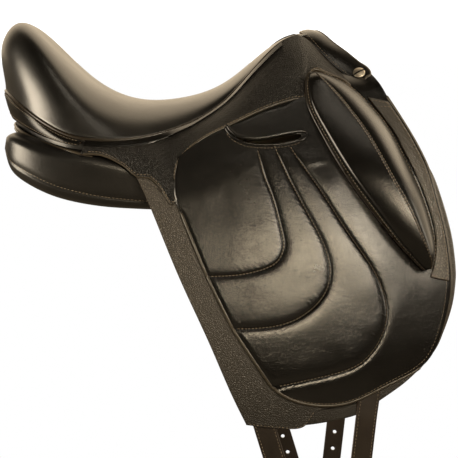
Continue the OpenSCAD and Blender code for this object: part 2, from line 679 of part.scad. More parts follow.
// Lines of the padded cover: its rear corner, three sewn seams and its outer edge, [x, z]
cover_corner = [[-57, 29], [-63, 12], [-62, -10], [-57, -26]];
seam_1 = [[22, 77], [30, 60], [35, 45], [42, 18], [53, -11], [62, -44], [66, -66], [61, -82], [46, -93],
          [13, -101], [-26, -103]];
seam_2 = [[45, 87], [50, 68], [56, 50], [73, 12], [97, -32], [115, -67], [122, -100], [112, -129], [85, -152],
          [49, -163], [5, -165]];
seam_3 = [[64, 95], [68, 72], [76, 48], [110, 0], [145, -53], [175, -97], [190, -137], [186, -173],
          [164, -204], [127, -220], [52, -235]];
cover_edge = [[194, 109], [212, 79], [232, 46], [250, -16], [265, -62], [269, -112], [267, -148], [253, -190],
              [231, -217], [193, -234], [148, -255], [104, -258], [57, -239]];
COVER_ROWS = 24;
// Columns of the cover's grid: band and share of the way across it
QUILT_COLS = [0, 0.25, 0.5, 0.75];
EDGE_COLS = [0, 0.07, 0.16, 0.26, 0.42, 0.6, 0.8, 1];
COVER_COLS = [for (b = [0:3], w = b < 3 ? QUILT_COLS : EDGE_COLS) [b, w]];

// Swell of the padding at share w of the way from one seam to the next
function swell(band, w) = sin(180 * clamp(band < 3 ? w : w * 4));

module cover_body() {
    lines = [for (c = [cover_corner, seam_1, seam_2, seam_3, cover_edge]) curve(c, COVER_ROWS)];
    function face(out) = [for (i = [0:COVER_ROWS]) [for (c = COVER_COLS)
        let (p = lerp(lines[c[0]][i], lines[c[0] + 1][i], c[1]),
             puff = cover_puff * swell(c[0], c[1]) * ease(i / 5) * ease((COVER_ROWS - i) / 3))
        on_side(p, out ? cover_out + puff : cover_in)]];
    sheet(face(true), face(false));
}

module cover_upper(which) {
    color([0.07, 0.065, 0.06]) on(which) difference() {
        intersection() { cover_body(); above_bend(); }
        slot_cut();
    }
}

module cover_lower(which) {
    color([0.07, 0.065, 0.06]) on(which) intersection() { cover_body(); below_bend(); }
}

// Thigh block: its rear and front edges from the top down, [x, z], and its share of block_h along them
block_rear = [[98, 136], [99, 106], [109, 77], [131, 36], [154, 1], [180, -33], [204, -63], [228, -89],
              [238, -98]];
block_front = [[118, 139], [148, 122], [176, 97], [196, 70], [217, 25], [233, -12], [245, -50], [249, -76],
               [246, -97]];
block_height = [[0.3], [0.5], [0.68], [0.85], [0.97], [1], [0.95], [0.78], [0.35]];

module thigh_block(which) {
    rings = 22;
    shape = [[0, 0], [0.25, 0.52], [0.5, 0.82], [0.72, 1], [0.86, 0.86], [1, 0]];
    base = strip_in;
    function ring(t) =
        let (a = at(block_rear, t), b = at(block_front, t), h = block_h * at(block_height, t)[0])
        concat([for (s = shape) on_side(lerp(a, b, s[0]), base + 2 + h * s[1])],
               [for (k = [4:-1:1]) on_side(lerp(a, b, k / 5), base)]);
    color([0.07, 0.065, 0.06]) on(which) loft([for (i = [0:rings]) ring(i / rings)]);
}

// Grained strip in front of the block
strip_rear = [[184, 97], [201, 70], [222, 25], [238, -12], [250, -50], [253, -80], [247, -107]];
strip_front = [[196, 108], [212, 79], [232, 46], [250, -16], [265, -62], [269, -90], [268, -112]];

module front_strip(which) {
    top = [strip_rear[0], strip_front[0]];
    bottom = [strip_rear[6], strip_front[6]];
    g = patch(top, bottom, strip_rear, strip_front, 14, 2);
    color([0.1, 0.095, 0.09]) on(which) sheet(on_sides(g, strip_out), on_sides(g, strip_in));
}

seat_cover();
seat_foam();
seat_webs();
seat_welt();
pommel_band();
pommel_screws();
cantle_band();
rear_facing();
gullet_lining();
tree_head();
head_plate();
gullet_plate();
tree_cantle();
bar_rivets();
for (which = SIDES) {
    skirt(which);
    panel(which);
    tree_rail(which);
    spring_strip(which);
    stirrup_bar(which);
    bar_pin(which);
    bar_catch(which);
    sweat_flap(which);
    flap_upper(which);
    flap_lower(which);
    cover_upper(which);
    cover_lower(which);
    thigh_block(which);
    front_strip(which);
    for (end = [0, 1]) {
        girth_strap_top(which, end);
        girth_strap(which, end);
    }
}
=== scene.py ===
import math
import bpy
import bmesh
from mathutils import Matrix, Vector, noise


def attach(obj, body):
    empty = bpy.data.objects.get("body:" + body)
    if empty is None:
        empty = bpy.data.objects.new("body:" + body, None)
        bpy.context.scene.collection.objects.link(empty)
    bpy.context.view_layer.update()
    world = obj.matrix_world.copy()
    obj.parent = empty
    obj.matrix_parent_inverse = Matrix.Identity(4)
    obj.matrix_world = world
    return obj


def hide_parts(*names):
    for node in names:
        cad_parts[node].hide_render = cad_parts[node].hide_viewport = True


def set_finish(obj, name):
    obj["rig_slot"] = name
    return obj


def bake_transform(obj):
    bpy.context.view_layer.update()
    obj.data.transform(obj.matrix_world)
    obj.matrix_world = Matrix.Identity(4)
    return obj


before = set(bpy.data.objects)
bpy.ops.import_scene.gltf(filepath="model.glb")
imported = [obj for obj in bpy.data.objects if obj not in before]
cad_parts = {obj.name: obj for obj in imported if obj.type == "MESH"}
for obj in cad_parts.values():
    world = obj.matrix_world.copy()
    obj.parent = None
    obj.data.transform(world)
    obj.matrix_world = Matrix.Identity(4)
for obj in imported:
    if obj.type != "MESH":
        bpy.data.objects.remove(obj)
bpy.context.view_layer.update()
mm = 0.001
weldReach = 0.01 * mm
upward, downward = (0, 0, 1), (0, 0, -1)
rightward, rearward = (0, -1, 0), (-1, 0, 0)
outside = (0, 1, 0)  # in the rules, where the right side has positive y
toRight = Matrix.Diagonal((mm, -mm, mm, 1))
sharpAngle = math.radians(38)
sheetAngle, fittingAngle, fittingEdge = 55, 35, 0.25


# numbers and curves, in millimetres
def lerp(a, b, t):
    return a + (b - a) * t


def clamp(t):
    return min(max(t, 0.0), 1.0)


def ease(t):
    c = clamp(t)
    return c * c * (3 - 2 * c)


def hump(t):
    return math.sin(math.pi * clamp(t))


def line(*rows):
    return [Vector(row) for row in rows]


def curveAt(points, share):
    last = len(points) - 1
    u = clamp(share) * last
    i = min(int(u), last - 1)
    t = u - i
    a, b, c, d = points[max(i - 1, 0)], points[i], points[i + 1], points[min(i + 2, last)]
    bend = 2 * b + (c - a) * t + (2 * a - 5 * b + 4 * c - d) * t * t
    return 0.5 * (bend + (3 * b - a - 3 * c + d) * t ** 3)


def between(first, second, t, v):
    return lerp(curveAt(first, t), curveAt(second, t), v)


# curve of least bending through the points, so highlights run on without kinks
def springLine(*rows):
    points = line(*rows)
    count = len(points)
    zero = points[0] * 0
    share, load, bend = [0.0] * count, [zero] * count, [zero] * count
    for i in range(1, count - 1):
        share[i] = 1 / (4 - share[i - 1])
        load[i] = (6 * (points[i + 1] - 2 * points[i] + points[i - 1]) - load[i - 1]) * share[i]
    for i in range(count - 2, 0, -1):
        bend[i] = load[i] - bend[i + 1] * share[i]

    def at(t):
        u = clamp(t) * (count - 1)
        i = min(int(u), count - 2)
        b = u - i
        a = 1 - b
        return (points[i] * a + points[i + 1] * b
                + (bend[i] * (a ** 3 - a) + bend[i + 1] * (b ** 3 - b)) / 6)

    return at


def pathAt(path, share):
    u = clamp(share) * (len(path) - 1)
    i = min(int(u), len(path) - 2)
    return lerp(path[i], path[i + 1], u - i)


# the curve the flaps lie on
barrel = {"treeHalf": 123, "ribHalf": 212, "barLevel": 90, "lowLevel": -290, "height": 491}


def roundness(z):
    rise = clamp((z - barrel["lowLevel"]) / barrel["height"])
    return math.sqrt(1 - min(rise, 0.99) ** 1.6)


def sideY(x, z):
    low = roundness(barrel["barLevel"])
    wide = lerp(barrel["treeHalf"], barrel["ribHalf"], (roundness(z) - low) / (1 - low))
    taper = 1 - 0.2 * (max(x, 0) / 300) ** 2
    return wide * taper * (1 - 0.15 * ease((x - 20) / 180) * ease((z - 10) / 130))


def onSide(p, d):
    return Vector((p[0], sideY(p[0], p[1]) + d, p[1]))


def sidePath(points, count, out):
    return [onSide(curveAt(points, i / count), out) for i in range(count + 1)]


def flipped(p):
    return Vector((p.x, -p.y, p.z))


def towards(out, way):
    return out if out.dot(Vector(way)) > 0 else -out


def patchAt(edges, u, v):
    top, bottom, rear, front = [edges[key] for key in ("top", "bottom", "rear", "front")]
    ends = lerp(lerp(top[0], top[-1], u), lerp(bottom[0], bottom[-1], u), v)
    return between(top, bottom, u, v) + between(rear, front, v, u) - ends


# meshes: grids whose points are placed by rules, for the right side or across the middle
def placed(name, data):
    obj = bpy.data.objects.new(name, data)
    bpy.context.scene.collection.objects.link(obj)
    return obj


def linked(name, bm):
    mesh = bpy.data.meshes.new(name)
    bm.to_mesh(mesh)
    bm.free()
    return placed(name, mesh)


def smoothed(obj):
    obj.data.polygons.foreach_set("use_smooth", [True] * len(obj.data.polygons))


def dressed(obj, look):
    obj.data.materials.append(looks[look])
    smoothed(obj)
    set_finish(obj, slots[look])
    return obj


def gridPiece(name, cols, rows, place, look, sign=-1, outward=None, wrap=False, near=None, relax=0):
    bm = bmesh.new()
    bm.loops.layers.uv.new("UVMap")
    bmesh.ops.create_grid(bm, x_segments=cols, y_segments=rows, size=0.5, calc_uvs=True)
    seam = bm.verts.layers.float.new("seamNear") if near else None
    for v in bm.verts:
        u, w = v.co.x + 0.5, v.co.y + 0.5
        p = place(u, w)
        if near:
            v[seam] = near(u, w)
        v.co = Vector((p.x, p.y * sign, p.z)) * mm
    if wrap:
        bmesh.ops.remove_doubles(bm, verts=bm.verts, dist=2 * weldReach)
        rims = [e for e in bm.edges if e.is_boundary]
        if rims:
            bmesh.ops.holes_fill(bm, edges=rims, sides=0)
        bmesh.ops.recalc_face_normals(bm, faces=bm.faces)
    elif outward:
        bm.normal_update()
        facing = sum(f.normal.dot(Vector(outward)) * f.calc_area() for f in bm.faces)
        if facing < 0:
            bmesh.ops.reverse_faces(bm, faces=bm.faces)
    inner = [v for v in bm.verts if not v.is_boundary]
    for i in range(relax):
        bmesh.ops.smooth_vert(bm, verts=inner, factor=0.5, use_axis_x=True, use_axis_y=True, use_axis_z=True)
    return dressed(linked(name, bm), look)


def applied(obj):
    graph = bpy.context.evaluated_depsgraph_get()
    mesh = bpy.data.meshes.new_from_object(obj.evaluated_get(graph))
    old = obj.data
    obj.modifiers.clear()
    obj.data = mesh
    bpy.data.meshes.remove(old)
    mesh.name = obj.name
    return obj


def softened(obj, width, angle):
    soften = obj.modifiers.new("edges", "BEVEL")
    soften.width = width * mm
    soften.segments = 2
    soften.limit_method = "ANGLE"
    soften.angle_limit = math.radians(angle)


def thick(obj, depth, edge, rim):
    shell = obj.modifiers.new("thickness", "SOLIDIFY")
    shell.thickness = depth * mm
    shell.offset = -1
    if rim:
        obj.data.materials.append(looks[rim])
        shell.material_offset_rim = 1
    softened(obj, edge, sheetAngle)
    return applied(obj)


# a sheet: a grid with thickness, and cut edges where rim says so, brown partly as dye and partly as a
# painted highlight
def sheet(name, cols, rows, place, look, outward, depth, edge=0.7, rim=None, sign=-1, **more):
    return thick(gridPiece(name, cols, rows, place, look, sign, outward, **more), depth, edge, rim)


def cut(obj, tool):
    bite = obj.modifiers.new("cut", "BOOLEAN")
    bite.operation = "DIFFERENCE"
    bite.solver = "EXACT"
    bite.object = tool
    applied(obj)
    bpy.data.objects.remove(tool)
    return obj


def evenly(path, step):
    lengths = [0.0]
    for a, b in zip(path, path[1:]):
        lengths.append(lengths[-1] + (b - a).length)
    count = max(int(lengths[-1] / step), 1)
    out, k = [], 0
    for i in range(count + 1):
        want = lengths[-1] * i / count
        while k < len(path) - 2 and lengths[k + 1] < want:
            k += 1
        span = max(lengths[k + 1] - lengths[k], 1e-9)
        out.append((k, clamp((want - lengths[k]) / span)))
    return out


# a cord of leather along a path; size is its radius, or gives it at each share of the way
def tubePiece(name, path, size, look, sign=-1, around=10, step=3.0):
    places = [lerp(path[k], path[k + 1], t) for k, t in evenly(path, step)]
    last = len(places) - 1

    def place(u, v):
        i = min(int(round(v * last)), last)
        ahead = (places[min(i + 1, last)] - places[max(i - 1, 0)]).normalized()
        across = ahead.cross(Vector((0, 0, 1)))
        if across.length < 0.05:
            across = ahead.cross(Vector((0, 1, 0)))
        across.normalize()
        a = 2 * math.pi * u
        radius = size(i / last) if callable(size) else size
        if i in (0, last):
            radius *= 0.35  # ends close to a small cap
        return places[i] + (across * math.cos(a) + across.cross(ahead) * math.sin(a)) * radius

    return gridPiece(name, around, last, place, look, sign, wrap=True)


# sewn threads of the right side: one small bead per stitch, all rows of a piece in one mesh
def stitchPiece(name, rows, pitch=4.2, length=3.0, width=0.75, sunk=0.15):
    bm = bmesh.new()
    for path, normals in rows:
        for k, t in evenly(path, pitch)[:-1]:
            here = lerp(path[k], path[k + 1], t)
            ahead = (path[k + 1] - path[k]).normalized()
            across = lerp(normals[k], normals[k + 1], t).cross(ahead).normalized()
            out = ahead.cross(across)
            here = here + out * (width * 0.5 - sunk) + ahead * pitch * 0.5
            turn = Matrix((ahead * length / 2, across * width / 2, out * width / 2)).transposed().to_4x4()
            bmesh.ops.create_uvsphere(bm, u_segments=6, v_segments=4, radius=1,
                                      matrix=toRight @ Matrix.Translation(here) @ turn)
    bmesh.ops.reverse_faces(bm, faces=bm.faces)
    return dressed(linked(name, bm), "thread")


# spots on a piece's map: down it at one u, or across it at one v
def downAt(u, start, end, count):
    return [(u, lerp(start, end, i / count)) for i in range(count + 1)]


def acrossAt(v, start, end, count):
    return [(lerp(start, end, i / count), v) for i in range(count + 1)]


def surfaceRow(place, spots, toward):
    path, normals = [], []
    for u, v in spots:
        du = place(min(u + 0.002, 1.0), v) - place(max(u - 0.002, 0.0), v)
        dv = place(u, min(v + 0.002, 1.0)) - place(u, max(v - 0.002, 0.0))
        normals.append(towards(du.cross(dv).normalized(), toward))
        path.append(place(u, v))
    return path, normals


def mirrored(obj):
    mesh = obj.data.copy()
    mesh.transform(Matrix.Diagonal((1, -1, 1, 1)))
    mesh.flip_normals()
    twin = placed(obj.name.replace("_right", "_left"), mesh)
    mesh.name = twin.name
    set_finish(twin, obj["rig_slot"])
    return twin


def marked(piece, nodes):
    if nodes:
        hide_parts(*nodes)


# the right piece and its mirror image, riding on the saddle, or left in place with its transform baked where
# a bend span is given
def bothSides(obj, nodes=(), bend=None):
    for side, sign, piece in (("left", 1, mirrored(obj)), ("right", -1, obj)):
        if bend:
            start, end = [Vector((p.x, p.y * sign, p.z)) * mm for p in bend["span"]]
            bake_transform(piece)
            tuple(start)
            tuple(end)
        else:
            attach(piece, "saddle")
        marked(piece, [node + "_" + side for node in nodes])


def middle(obj, nodes=()):
    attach(obj, "saddle")
    marked(obj, nodes)


# rows of stitches and thin worked edges, on both sides
def sewn(name, place, rows, toward, bend=None, **size):
    made = [surfaceRow(place, spots, toward) for spots in rows]
    bothSides(stitchPiece(name + "_right", made, **size), bend=bend)


# beads default to the cord leather whose light colour is a painted highlight
def beaded(name, path, radius, bend=None, look="paintedSheenCord", around=8, step=2.4):
    bothSides(tubePiece(name + "_right", path, radius, look, around=around, step=step), bend=bend)


# materials: a node takes values or links, in order or by the names of its inputs
def feed(tree, socket, value):
    if isinstance(value, bpy.types.NodeSocket):
        tree.links.new(value, socket)
    elif value is not None:
        socket.default_value = value


def wired(tree, made, *links, **values):
    for key, value in values.items():
        if hasattr(made, key):
            setattr(made, key, value)
        else:
            feed(tree, made.inputs[key.replace("_", " ")], value)
    for i, value in enumerate(links):
        feed(tree, made.inputs[i], value)
    return made


def node(tree, kind, *links, **values):
    return wired(tree, tree.nodes.new("ShaderNode" + kind), *links, **values)


def maths(tree, operation, a, b=None):
    return node(tree, "Math", a, b, operation=operation).outputs[0]


def newGroup(name, inputs, outputs):
    group = bpy.data.node_groups.new(name, "ShaderNodeTree")
    for label, start in inputs.items():
        kind = "NodeSocketVector" if start is None else "NodeSocketFloat"
        socket = group.interface.new_socket(label, in_out="INPUT", socket_type=kind)
        if start is not None:
            socket.default_value = start
    for label in outputs:
        group.interface.new_socket(label, in_out="OUTPUT", socket_type="NodeSocketFloat")
    return group, group.nodes.new("NodeGroupInput").outputs, group.nodes.new("NodeGroupOutput")


# pores, faint creases, long flat folds and patches of a smooth hide
def makeHide():
    sizes = {"Vector": None, "Pores": 1500, "Creases": 130, "Folds": 0.0}
    group, start, end = newGroup("hideGrain", sizes, ["Height", "Patch"])
    where = start["Vector"]
    pores = node(group, "TexVoronoi", feature="SMOOTH_F1", Smoothness=0.6, Vector=where,
                 Scale=start["Pores"])
    creases = node(group, "TexNoise", Vector=where, Scale=start["Creases"], Detail=5.0, Roughness=0.62,
                   Distortion=0.8)
    patches = node(group, "TexNoise", Vector=where, Scale=22.0, Detail=5.0, Roughness=0.62)
    stretch = node(group, "VectorMath", where, (46, 46, 330), operation="MULTIPLY")
    folds = node(group, "TexNoise", Vector=stretch.outputs[0], Scale=1.0, Detail=3.0, Roughness=0.55,
                 Distortion=1.2)
    ridge = maths(group, "ABSOLUTE", maths(group, "SUBTRACT", creases.outputs["Fac"], 0.5))
    crease = maths(group, "MINIMUM", maths(group, "MULTIPLY", ridge, 9.0), 1.0)
    mixed = maths(group, "ADD", maths(group, "MULTIPLY", pores.outputs["Distance"], 0.45),
                  maths(group, "MULTIPLY", crease, 0.26))
    folded = maths(group, "MULTIPLY", folds.outputs["Fac"], start["Folds"])
    wired(group, end, Height=maths(group, "ADD", mixed, folded), Patch=patches.outputs["Fac"])
    return group


# pebbles of a printed grain, rounded between creases
def makePebble():
    group, start, end = newGroup("pebbleGrain", {"Vector": None, "Pebbles": 560}, ["Height", "Crease"])
    where = start["Vector"]
    warp = node(group, "TexNoise", Vector=where, Scale=260.0, Detail=2.0)
    bent = node(group, "VectorMath", warp.outputs["Color"], (0.0018, 0.0018, 0.0018), where,
                operation="MULTIPLY_ADD")
    cells = node(group, "TexVoronoi", feature="DISTANCE_TO_EDGE", Randomness=0.9, Vector=bent.outputs[0],
                 Scale=start["Pebbles"])
    fine = node(group, "TexNoise", Vector=where, Scale=2400.0, Detail=3.0)
    inside = maths(group, "MINIMUM", maths(group, "MULTIPLY", cells.outputs["Distance"], 3.0), 1.0)
    dome = maths(group, "POWER", inside, 0.55)
    high = maths(group, "ADD", dome, maths(group, "MULTIPLY", fine.outputs["Fac"], 0.12))
    wired(group, end, Height=high, Crease=maths(group, "SUBTRACT", 1.0, dome))
    return group


# short puckers that run off a sewn seam, by the piece's own map
def makePucker():
    sizes = {"Map": None, "Near": 0.0, "Across": 9.0, "Along": 95.0}
    group, start, end = newGroup("seamPucker", sizes, ["Height"])
    parts = node(group, "SeparateXYZ", start["Map"]).outputs
    across = maths(group, "MULTIPLY", parts[0], start["Across"])
    along = maths(group, "MULTIPLY", parts[1], start["Along"])
    spot = node(group, "CombineXYZ", across, along).outputs[0]
    folds = node(group, "TexNoise", Vector=spot, Scale=1.0, Detail=2.0, Roughness=0.45, Distortion=0.5)
    wired(group, end, Height=maths(group, "MULTIPLY", folds.outputs["Fac"], start["Near"]))
    return group


groups = {"hide": makeHide(), "pebble": makePebble(), "pucker": makePucker()}


def newMaterial(name):
    material = bpy.data.materials.new(name)
    material.use_nodes = True
    tree = material.node_tree
    return material, tree, tree.nodes["Principled BSDF"], node(tree, "TexCoord").outputs


def spread(tree, factor, low, high):
    made = node(tree, "MapRange", Value=factor, From_Min=0.3, From_Max=0.7, To_Min=low, To_Max=high)
    return made.outputs[0]


def twoTone(tree, factor, dark, light):
    made = node(tree, "Mix", factor, data_type="RGBA")
    made.inputs[6].default_value = (*dark, 1)
    made.inputs[7].default_value = (*light, 1)
    return made.outputs[2]


def bumped(tree, height, depth, under=None):
    return node(tree, "Bump", Distance=depth * mm, Strength=1.0, Height=height, Normal=under).outputs[0]


# a value that goes from one to another between two heights, in metres
def heightShare(tree, where, heights, low, high):
    up = node(tree, "SeparateXYZ", where["Object"]).outputs[2]
    start, end = heights
    return node(tree, "MapRange", Value=up, From_Min=start, From_Max=end, To_Min=low, To_Max=high).outputs[0]


# polish gives the heights between which the leather turns from more to less polished
def smoothLeather(name, dark, light, rough, depth=0.12, folds=0.0, puckered=0.0, shine=0.5, polish=None):
    material, tree, shader, where = newMaterial(name)
    hide = node(tree, "Group", node_tree=groups["hide"], Vector=where["Object"], Folds=folds).outputs
    tone = twoTone(tree, spread(tree, hide["Patch"], 0, 1), dark, light)
    matt = spread(tree, hide["Patch"], *rough)
    if polish:
        matt = maths(tree, "MULTIPLY", matt, heightShare(tree, where, polish, polishedShare, 1.0))
    normal = bumped(tree, hide["Height"], depth)
    if puckered:
        near = node(tree, "Attribute", attribute_name="seamNear").outputs["Fac"]
        pucker = node(tree, "Group", node_tree=groups["pucker"], Map=where["UV"], Near=near)
        normal = bumped(tree, pucker.outputs["Height"], puckered, normal)
    wired(tree, shader, Specular_IOR_Level=shine, Base_Color=tone, Roughness=matt, Normal=normal)
    return material


# fade gives the heights of a painted shade: the grain is darkest at the first height and lightest from the
# second
def pebbleLeather(name, dark, light, rough, depth, pebbles, shine, fade=None):
    material, tree, shader, where = newMaterial(name)
    grain = node(tree, "Group", node_tree=groups["pebble"], Vector=where["Object"], Pebbles=pebbles).outputs
    tone = grain["Crease"]
    if fade:
        tone = maths(tree, "MAXIMUM", tone, heightShare(tree, where, fade, paintedShadeShare, 0.0))
    # the light pebble tops are a painted sheen and the dark creases a painted shade; the pebble shape itself
    # is the grain
    wired(tree, shader, Specular_IOR_Level=shine, Base_Color=twoTone(tree, tone, light, dark),
          Roughness=spread(tree, grain["Crease"], *rough), Normal=bumped(tree, grain["Height"], depth))
    return material


def plain(name, dark, light, rough, metal=0.0, scale=180.0, depth=0.05):
    material, tree, shader, where = newMaterial(name)
    cloud = node(tree, "TexNoise", Vector=where["Object"], Scale=scale, Detail=4.0).outputs["Fac"]
    tone = twoTone(tree, spread(tree, cloud, 0, 1), dark, light)
    wired(tree, shader, Base_Color=tone, Roughness=spread(tree, cloud, *rough), Metallic=metal,
          Normal=bumped(tree, cloud, depth))
    return material


# the second share sets how dark the painted shade on grained leather gets
polishedShare, paintedShadeShare = 0.72, 0.82
hideDark, hideLight = (0.0024, 0.0022, 0.0019), (0.0048, 0.0042, 0.0035)
looks = {
    "seat": smoothLeather("seatLeather", hideDark, hideLight, (0.29, 0.35), 0.10, shine=1.0),
    "calf": smoothLeather("calfLeather", hideDark, hideLight, (0.21, 0.26)),
    "quilt": smoothLeather("quiltLeather", hideDark, hideLight, (0.23, 0.28), 0.14, folds=0.3, puckered=0.45,
                           shine=0.6, polish=(-0.21, -0.11)),
    "panel": smoothLeather("panelLeather", hideDark, hideLight, (0.32, 0.38), shine=0.8),
    # painted shade by height: the flap's grain darker towards its bottom, the strip's towards its top
    "grain": pebbleLeather("grainLeather", (0.004, 0.0034, 0.0027), (0.085, 0.073, 0.059), (0.31, 0.43),
                           0.22, 430.0, 0.4, fade=(-0.27, 0.0)),
    "strip": pebbleLeather("stripLeather", (0.006, 0.0051, 0.004), (0.105, 0.090, 0.072), (0.30, 0.42),
                           0.30, 340.0, 0.7, fade=(0.12, -0.06)),
    "skirt": pebbleLeather("skirtLeather", (0.003, 0.0027, 0.0023), (0.0058, 0.0051, 0.0042), (0.28, 0.42),
                           0.45, 460.0, 0.3),
    "strap": smoothLeather("strapLeather", (0.011, 0.0075, 0.005), (0.022, 0.0145, 0.0095), (0.32, 0.44)),
    "piping": smoothLeather("pipingLeather", (0.015, 0.0115, 0.008), (0.026, 0.020, 0.0135), (0.24, 0.32),
                            0.06),
    # lighter leather for cords, rolls and rims: its light colour is a painted highlight on black leather
    "paintedSheenCord": smoothLeather("paintedSheenCordLeather", (0.036, 0.029, 0.020), (0.058, 0.047, 0.033), (0.26, 0.34),
                             0.06),
    # cut edges: brown partly as edge dye, partly as a painted highlight
    "edge": plain("edgeDyeAndSheen", (0.045, 0.024, 0.013), (0.085, 0.050, 0.028), (0.42, 0.55), scale=320.0),
    "thread": plain("thread", (0.17, 0.13, 0.086), (0.26, 0.205, 0.142), (0.5, 0.65), scale=900.0),
    "foam": plain("foam", (0.62, 0.52, 0.30), (0.72, 0.62, 0.40), (0.85, 0.95), scale=700.0, depth=0.3),
    "web": plain("juteWeb", (0.34, 0.25, 0.15), (0.48, 0.37, 0.24), (0.8, 0.95), scale=900.0, depth=0.3),
    "wood": plain("beech", (0.40, 0.24, 0.12), (0.52, 0.34, 0.19), (0.5, 0.62), scale=60.0),
    "spring": plain("springSteel", (0.20, 0.20, 0.21), (0.32, 0.32, 0.33), (0.32, 0.45), 1.0),
    "bar": plain("forgedSteel", (0.46, 0.45, 0.43), (0.56, 0.55, 0.52), (0.26, 0.36), 1.0),
    "slotShade": plain("slotShade", (0.012, 0.010, 0.008), (0.022, 0.018, 0.014), (0.6, 0.7)),
    "nickel": plain("nickelScrew", (0.66, 0.58, 0.46), (0.80, 0.72, 0.60), (0.34, 0.44), 1.0, depth=0.02),
}
slots = {
    "seat": "calf_leather", "calf": "calf_leather", "quilt": "calf_leather", "panel": "panel_leather",
    "grain": "grain_leather", "strip": "grain_leather", "skirt": "grain_leather", "strap": "strap_leather",
    "piping": "piping", "paintedSheenCord": "piping", "thread": "piping", "foam": "foam", "web": "webbing",
    "nickel": "screw_steel",
}
print("materials made")

# seat: a padded leather form over foam, drawn down to the welt
seat = {
    "mid": springLine(
        (90, 188), (60, 175), (22, 143), (-20, 113), (-75, 100), (-130, 100), (-185, 126), (-231, 175),
        (-268, 206.5), (-292.5, 182), (-295.5, 151), (-290, 116)),
    "edge": springLine(
        (90, 46, 185), (60, 59, 171), (20, 76, 130), (-20, 96, 93), (-75, 123, 69), (-125, 139, 60),
        (-165, 142, 60), (-200, 136, 66), (-235, 118, 83), (-264, 84, 101), (-283, 42, 113),
        (-290, 12, 115)),
    "thickness": 2, "weltRadius": 2.2, "weltAway": 3.0, "trimAway": 6.0, "stop": 0.99, "tuck": 9,
    "sweep": 0.085, "swell": 1.2, "relax": 140, "foamDrop": 7, "foamThickness": 7, "webDrop": 20,
    "webThickness": 1.6, "foamSpan": (0.03, 0.6), "foamWidth": 0.93, "webSpan": (0.1, 0.62), "webFrom": 0.18,
    "webWidth": 0.22,
}


# lines down the cantle's sides sweep forward, so that its corner stays round
def seatAt(s, t):
    sweep = seat["sweep"] * ease((s - 0.42) / 0.2) * (1 - ease((s - 0.68) / 0.32))
    mid, edge = seat["mid"](s + sweep), seat["edge"](s)
    a = abs(t)
    fall = 0.2 * a * a + 0.8 * a ** 3.2
    y = edge.y * (1.12 * a - 0.12 * a ** 3)
    return Vector((lerp(mid.x, edge.x, a * a), math.copysign(y, t), lerp(mid.y, edge.z, fall)))


def edgeAt(s, away):
    p = seat["edge"](s)
    return p + (p - seatAt(s, 0.985)).normalized() * away


def placeSeat(u, v):
    t = 2 * u - 1
    swell = seat["swell"] * hump((abs(t) - 0.74) / 0.26)
    tuck = seat["tuck"] * clamp(1 - v / 0.03)
    return seatAt(seat["stop"] * v, t) + Vector((tuck, math.copysign(swell, t), 0.4 * swell))


seatCover = sheet("seatCover", 128, 160, placeSeat, "seat", upward, seat["thickness"], sign=1,
                  relax=seat["relax"])
middle(seatCover, ["seat_cover"])


def placeFoam(u, v):
    share = (2 * u - 1) * seat["foamWidth"]
    return seatAt(lerp(*seat["foamSpan"], v), share) - Vector((0, 0, seat["foamDrop"]))


seatFoam = sheet("seatFoam", 40, 60, placeFoam, "foam", upward, seat["foamThickness"], 2, sign=1)
middle(seatFoam, ["seat_foam"])


def placeWeb(u, v):
    share = seat["webFrom"] + seat["webWidth"] * u
    return seatAt(lerp(*seat["webSpan"], v), share) - Vector((0, 0, seat["webDrop"]))


for name, sign in (("seatWeb_left", 1), ("seatWeb_right", -1)):
    web = sheet(name, 8, 50, placeWeb, "web", upward, seat["webThickness"], 0.3, sign=sign)
    middle(web, ["seat_webs"] if sign > 0 else ())

weltHalf = [edgeAt(seat["stop"] * i / 160, seat["weltAway"]) for i in range(161)]
weltPath = weltHalf + [flipped(p) for p in reversed(weltHalf)]
middle(tubePiece("seatWelt", weltPath, seat["weltRadius"], "piping", 1), ["seat_welt"])
print("seat made")

# skirts: grained leather from the welt to a piped lower edge
skirt = {
    "low": line(
        (-181, 41), (-155, 40), (-130, 29), (-112, 15.5), (-96, 13), (-84, 3), (-76, -9), (-69, -18),
        (-64, -6), (-66, 18), (-58, 37), (-34, 58), (3, 77), (43, 95), (78, 106), (94, 109), (97, 130),
        (107, 142), (124, 137), (141, 130), (152, 122)),
    "seam": line((103, 53, 174), (117, 61, 158), (130, 68, 145), (142, 74, 134), (152, 79, 126)),
    "topX": (-178, -161, -142, -126, -113, -102, -93, -85, -78, -72, -63, -38, -2, 36, 66, 86),
    "thickness": 3, "inner": 8.9, "bow": 0.08, "rollWidth": 9, "hem": 3.4, "bolster": 3.2,
    "bead": 1.6, "beadSink": 1.5, "rollEnd": 0.7, "rollThickness": 1.2,
}


# share of the seat's edge that lies at the given length along the saddle
def edgeShare(x):
    low, high = 0.0, 1.0
    for i in range(30):
        half = (low + high) / 2
        low, high = (half, high) if seat["edge"](half).x > x else (low, half)
    return low


skirt["top"] = [edgeAt(edgeShare(x), seat["trimAway"]) for x in skirt["topX"]] + skirt["seam"]


def placeSkirt(u, v):
    a = curveAt(skirt["top"], u)
    b = onSide(curveAt(skirt["low"], u), skirt["inner"])
    out = towards(Vector((1, 0, 0)).cross(Vector((0, b.y - a.y, b.z - a.z))).normalized(), outside)
    lift = skirt["bow"] * (b - a).length * hump(v) + skirt["thickness"]
    return lerp(a, b, v) + (out * (1 - v) + Vector(outside) * v) * lift


def skirtSpot(u, fromLow):
    span = max((placeSkirt(u, 1) - placeSkirt(u, 0)).length, 1.0)
    return (u, clamp(1 - fromLow / span))


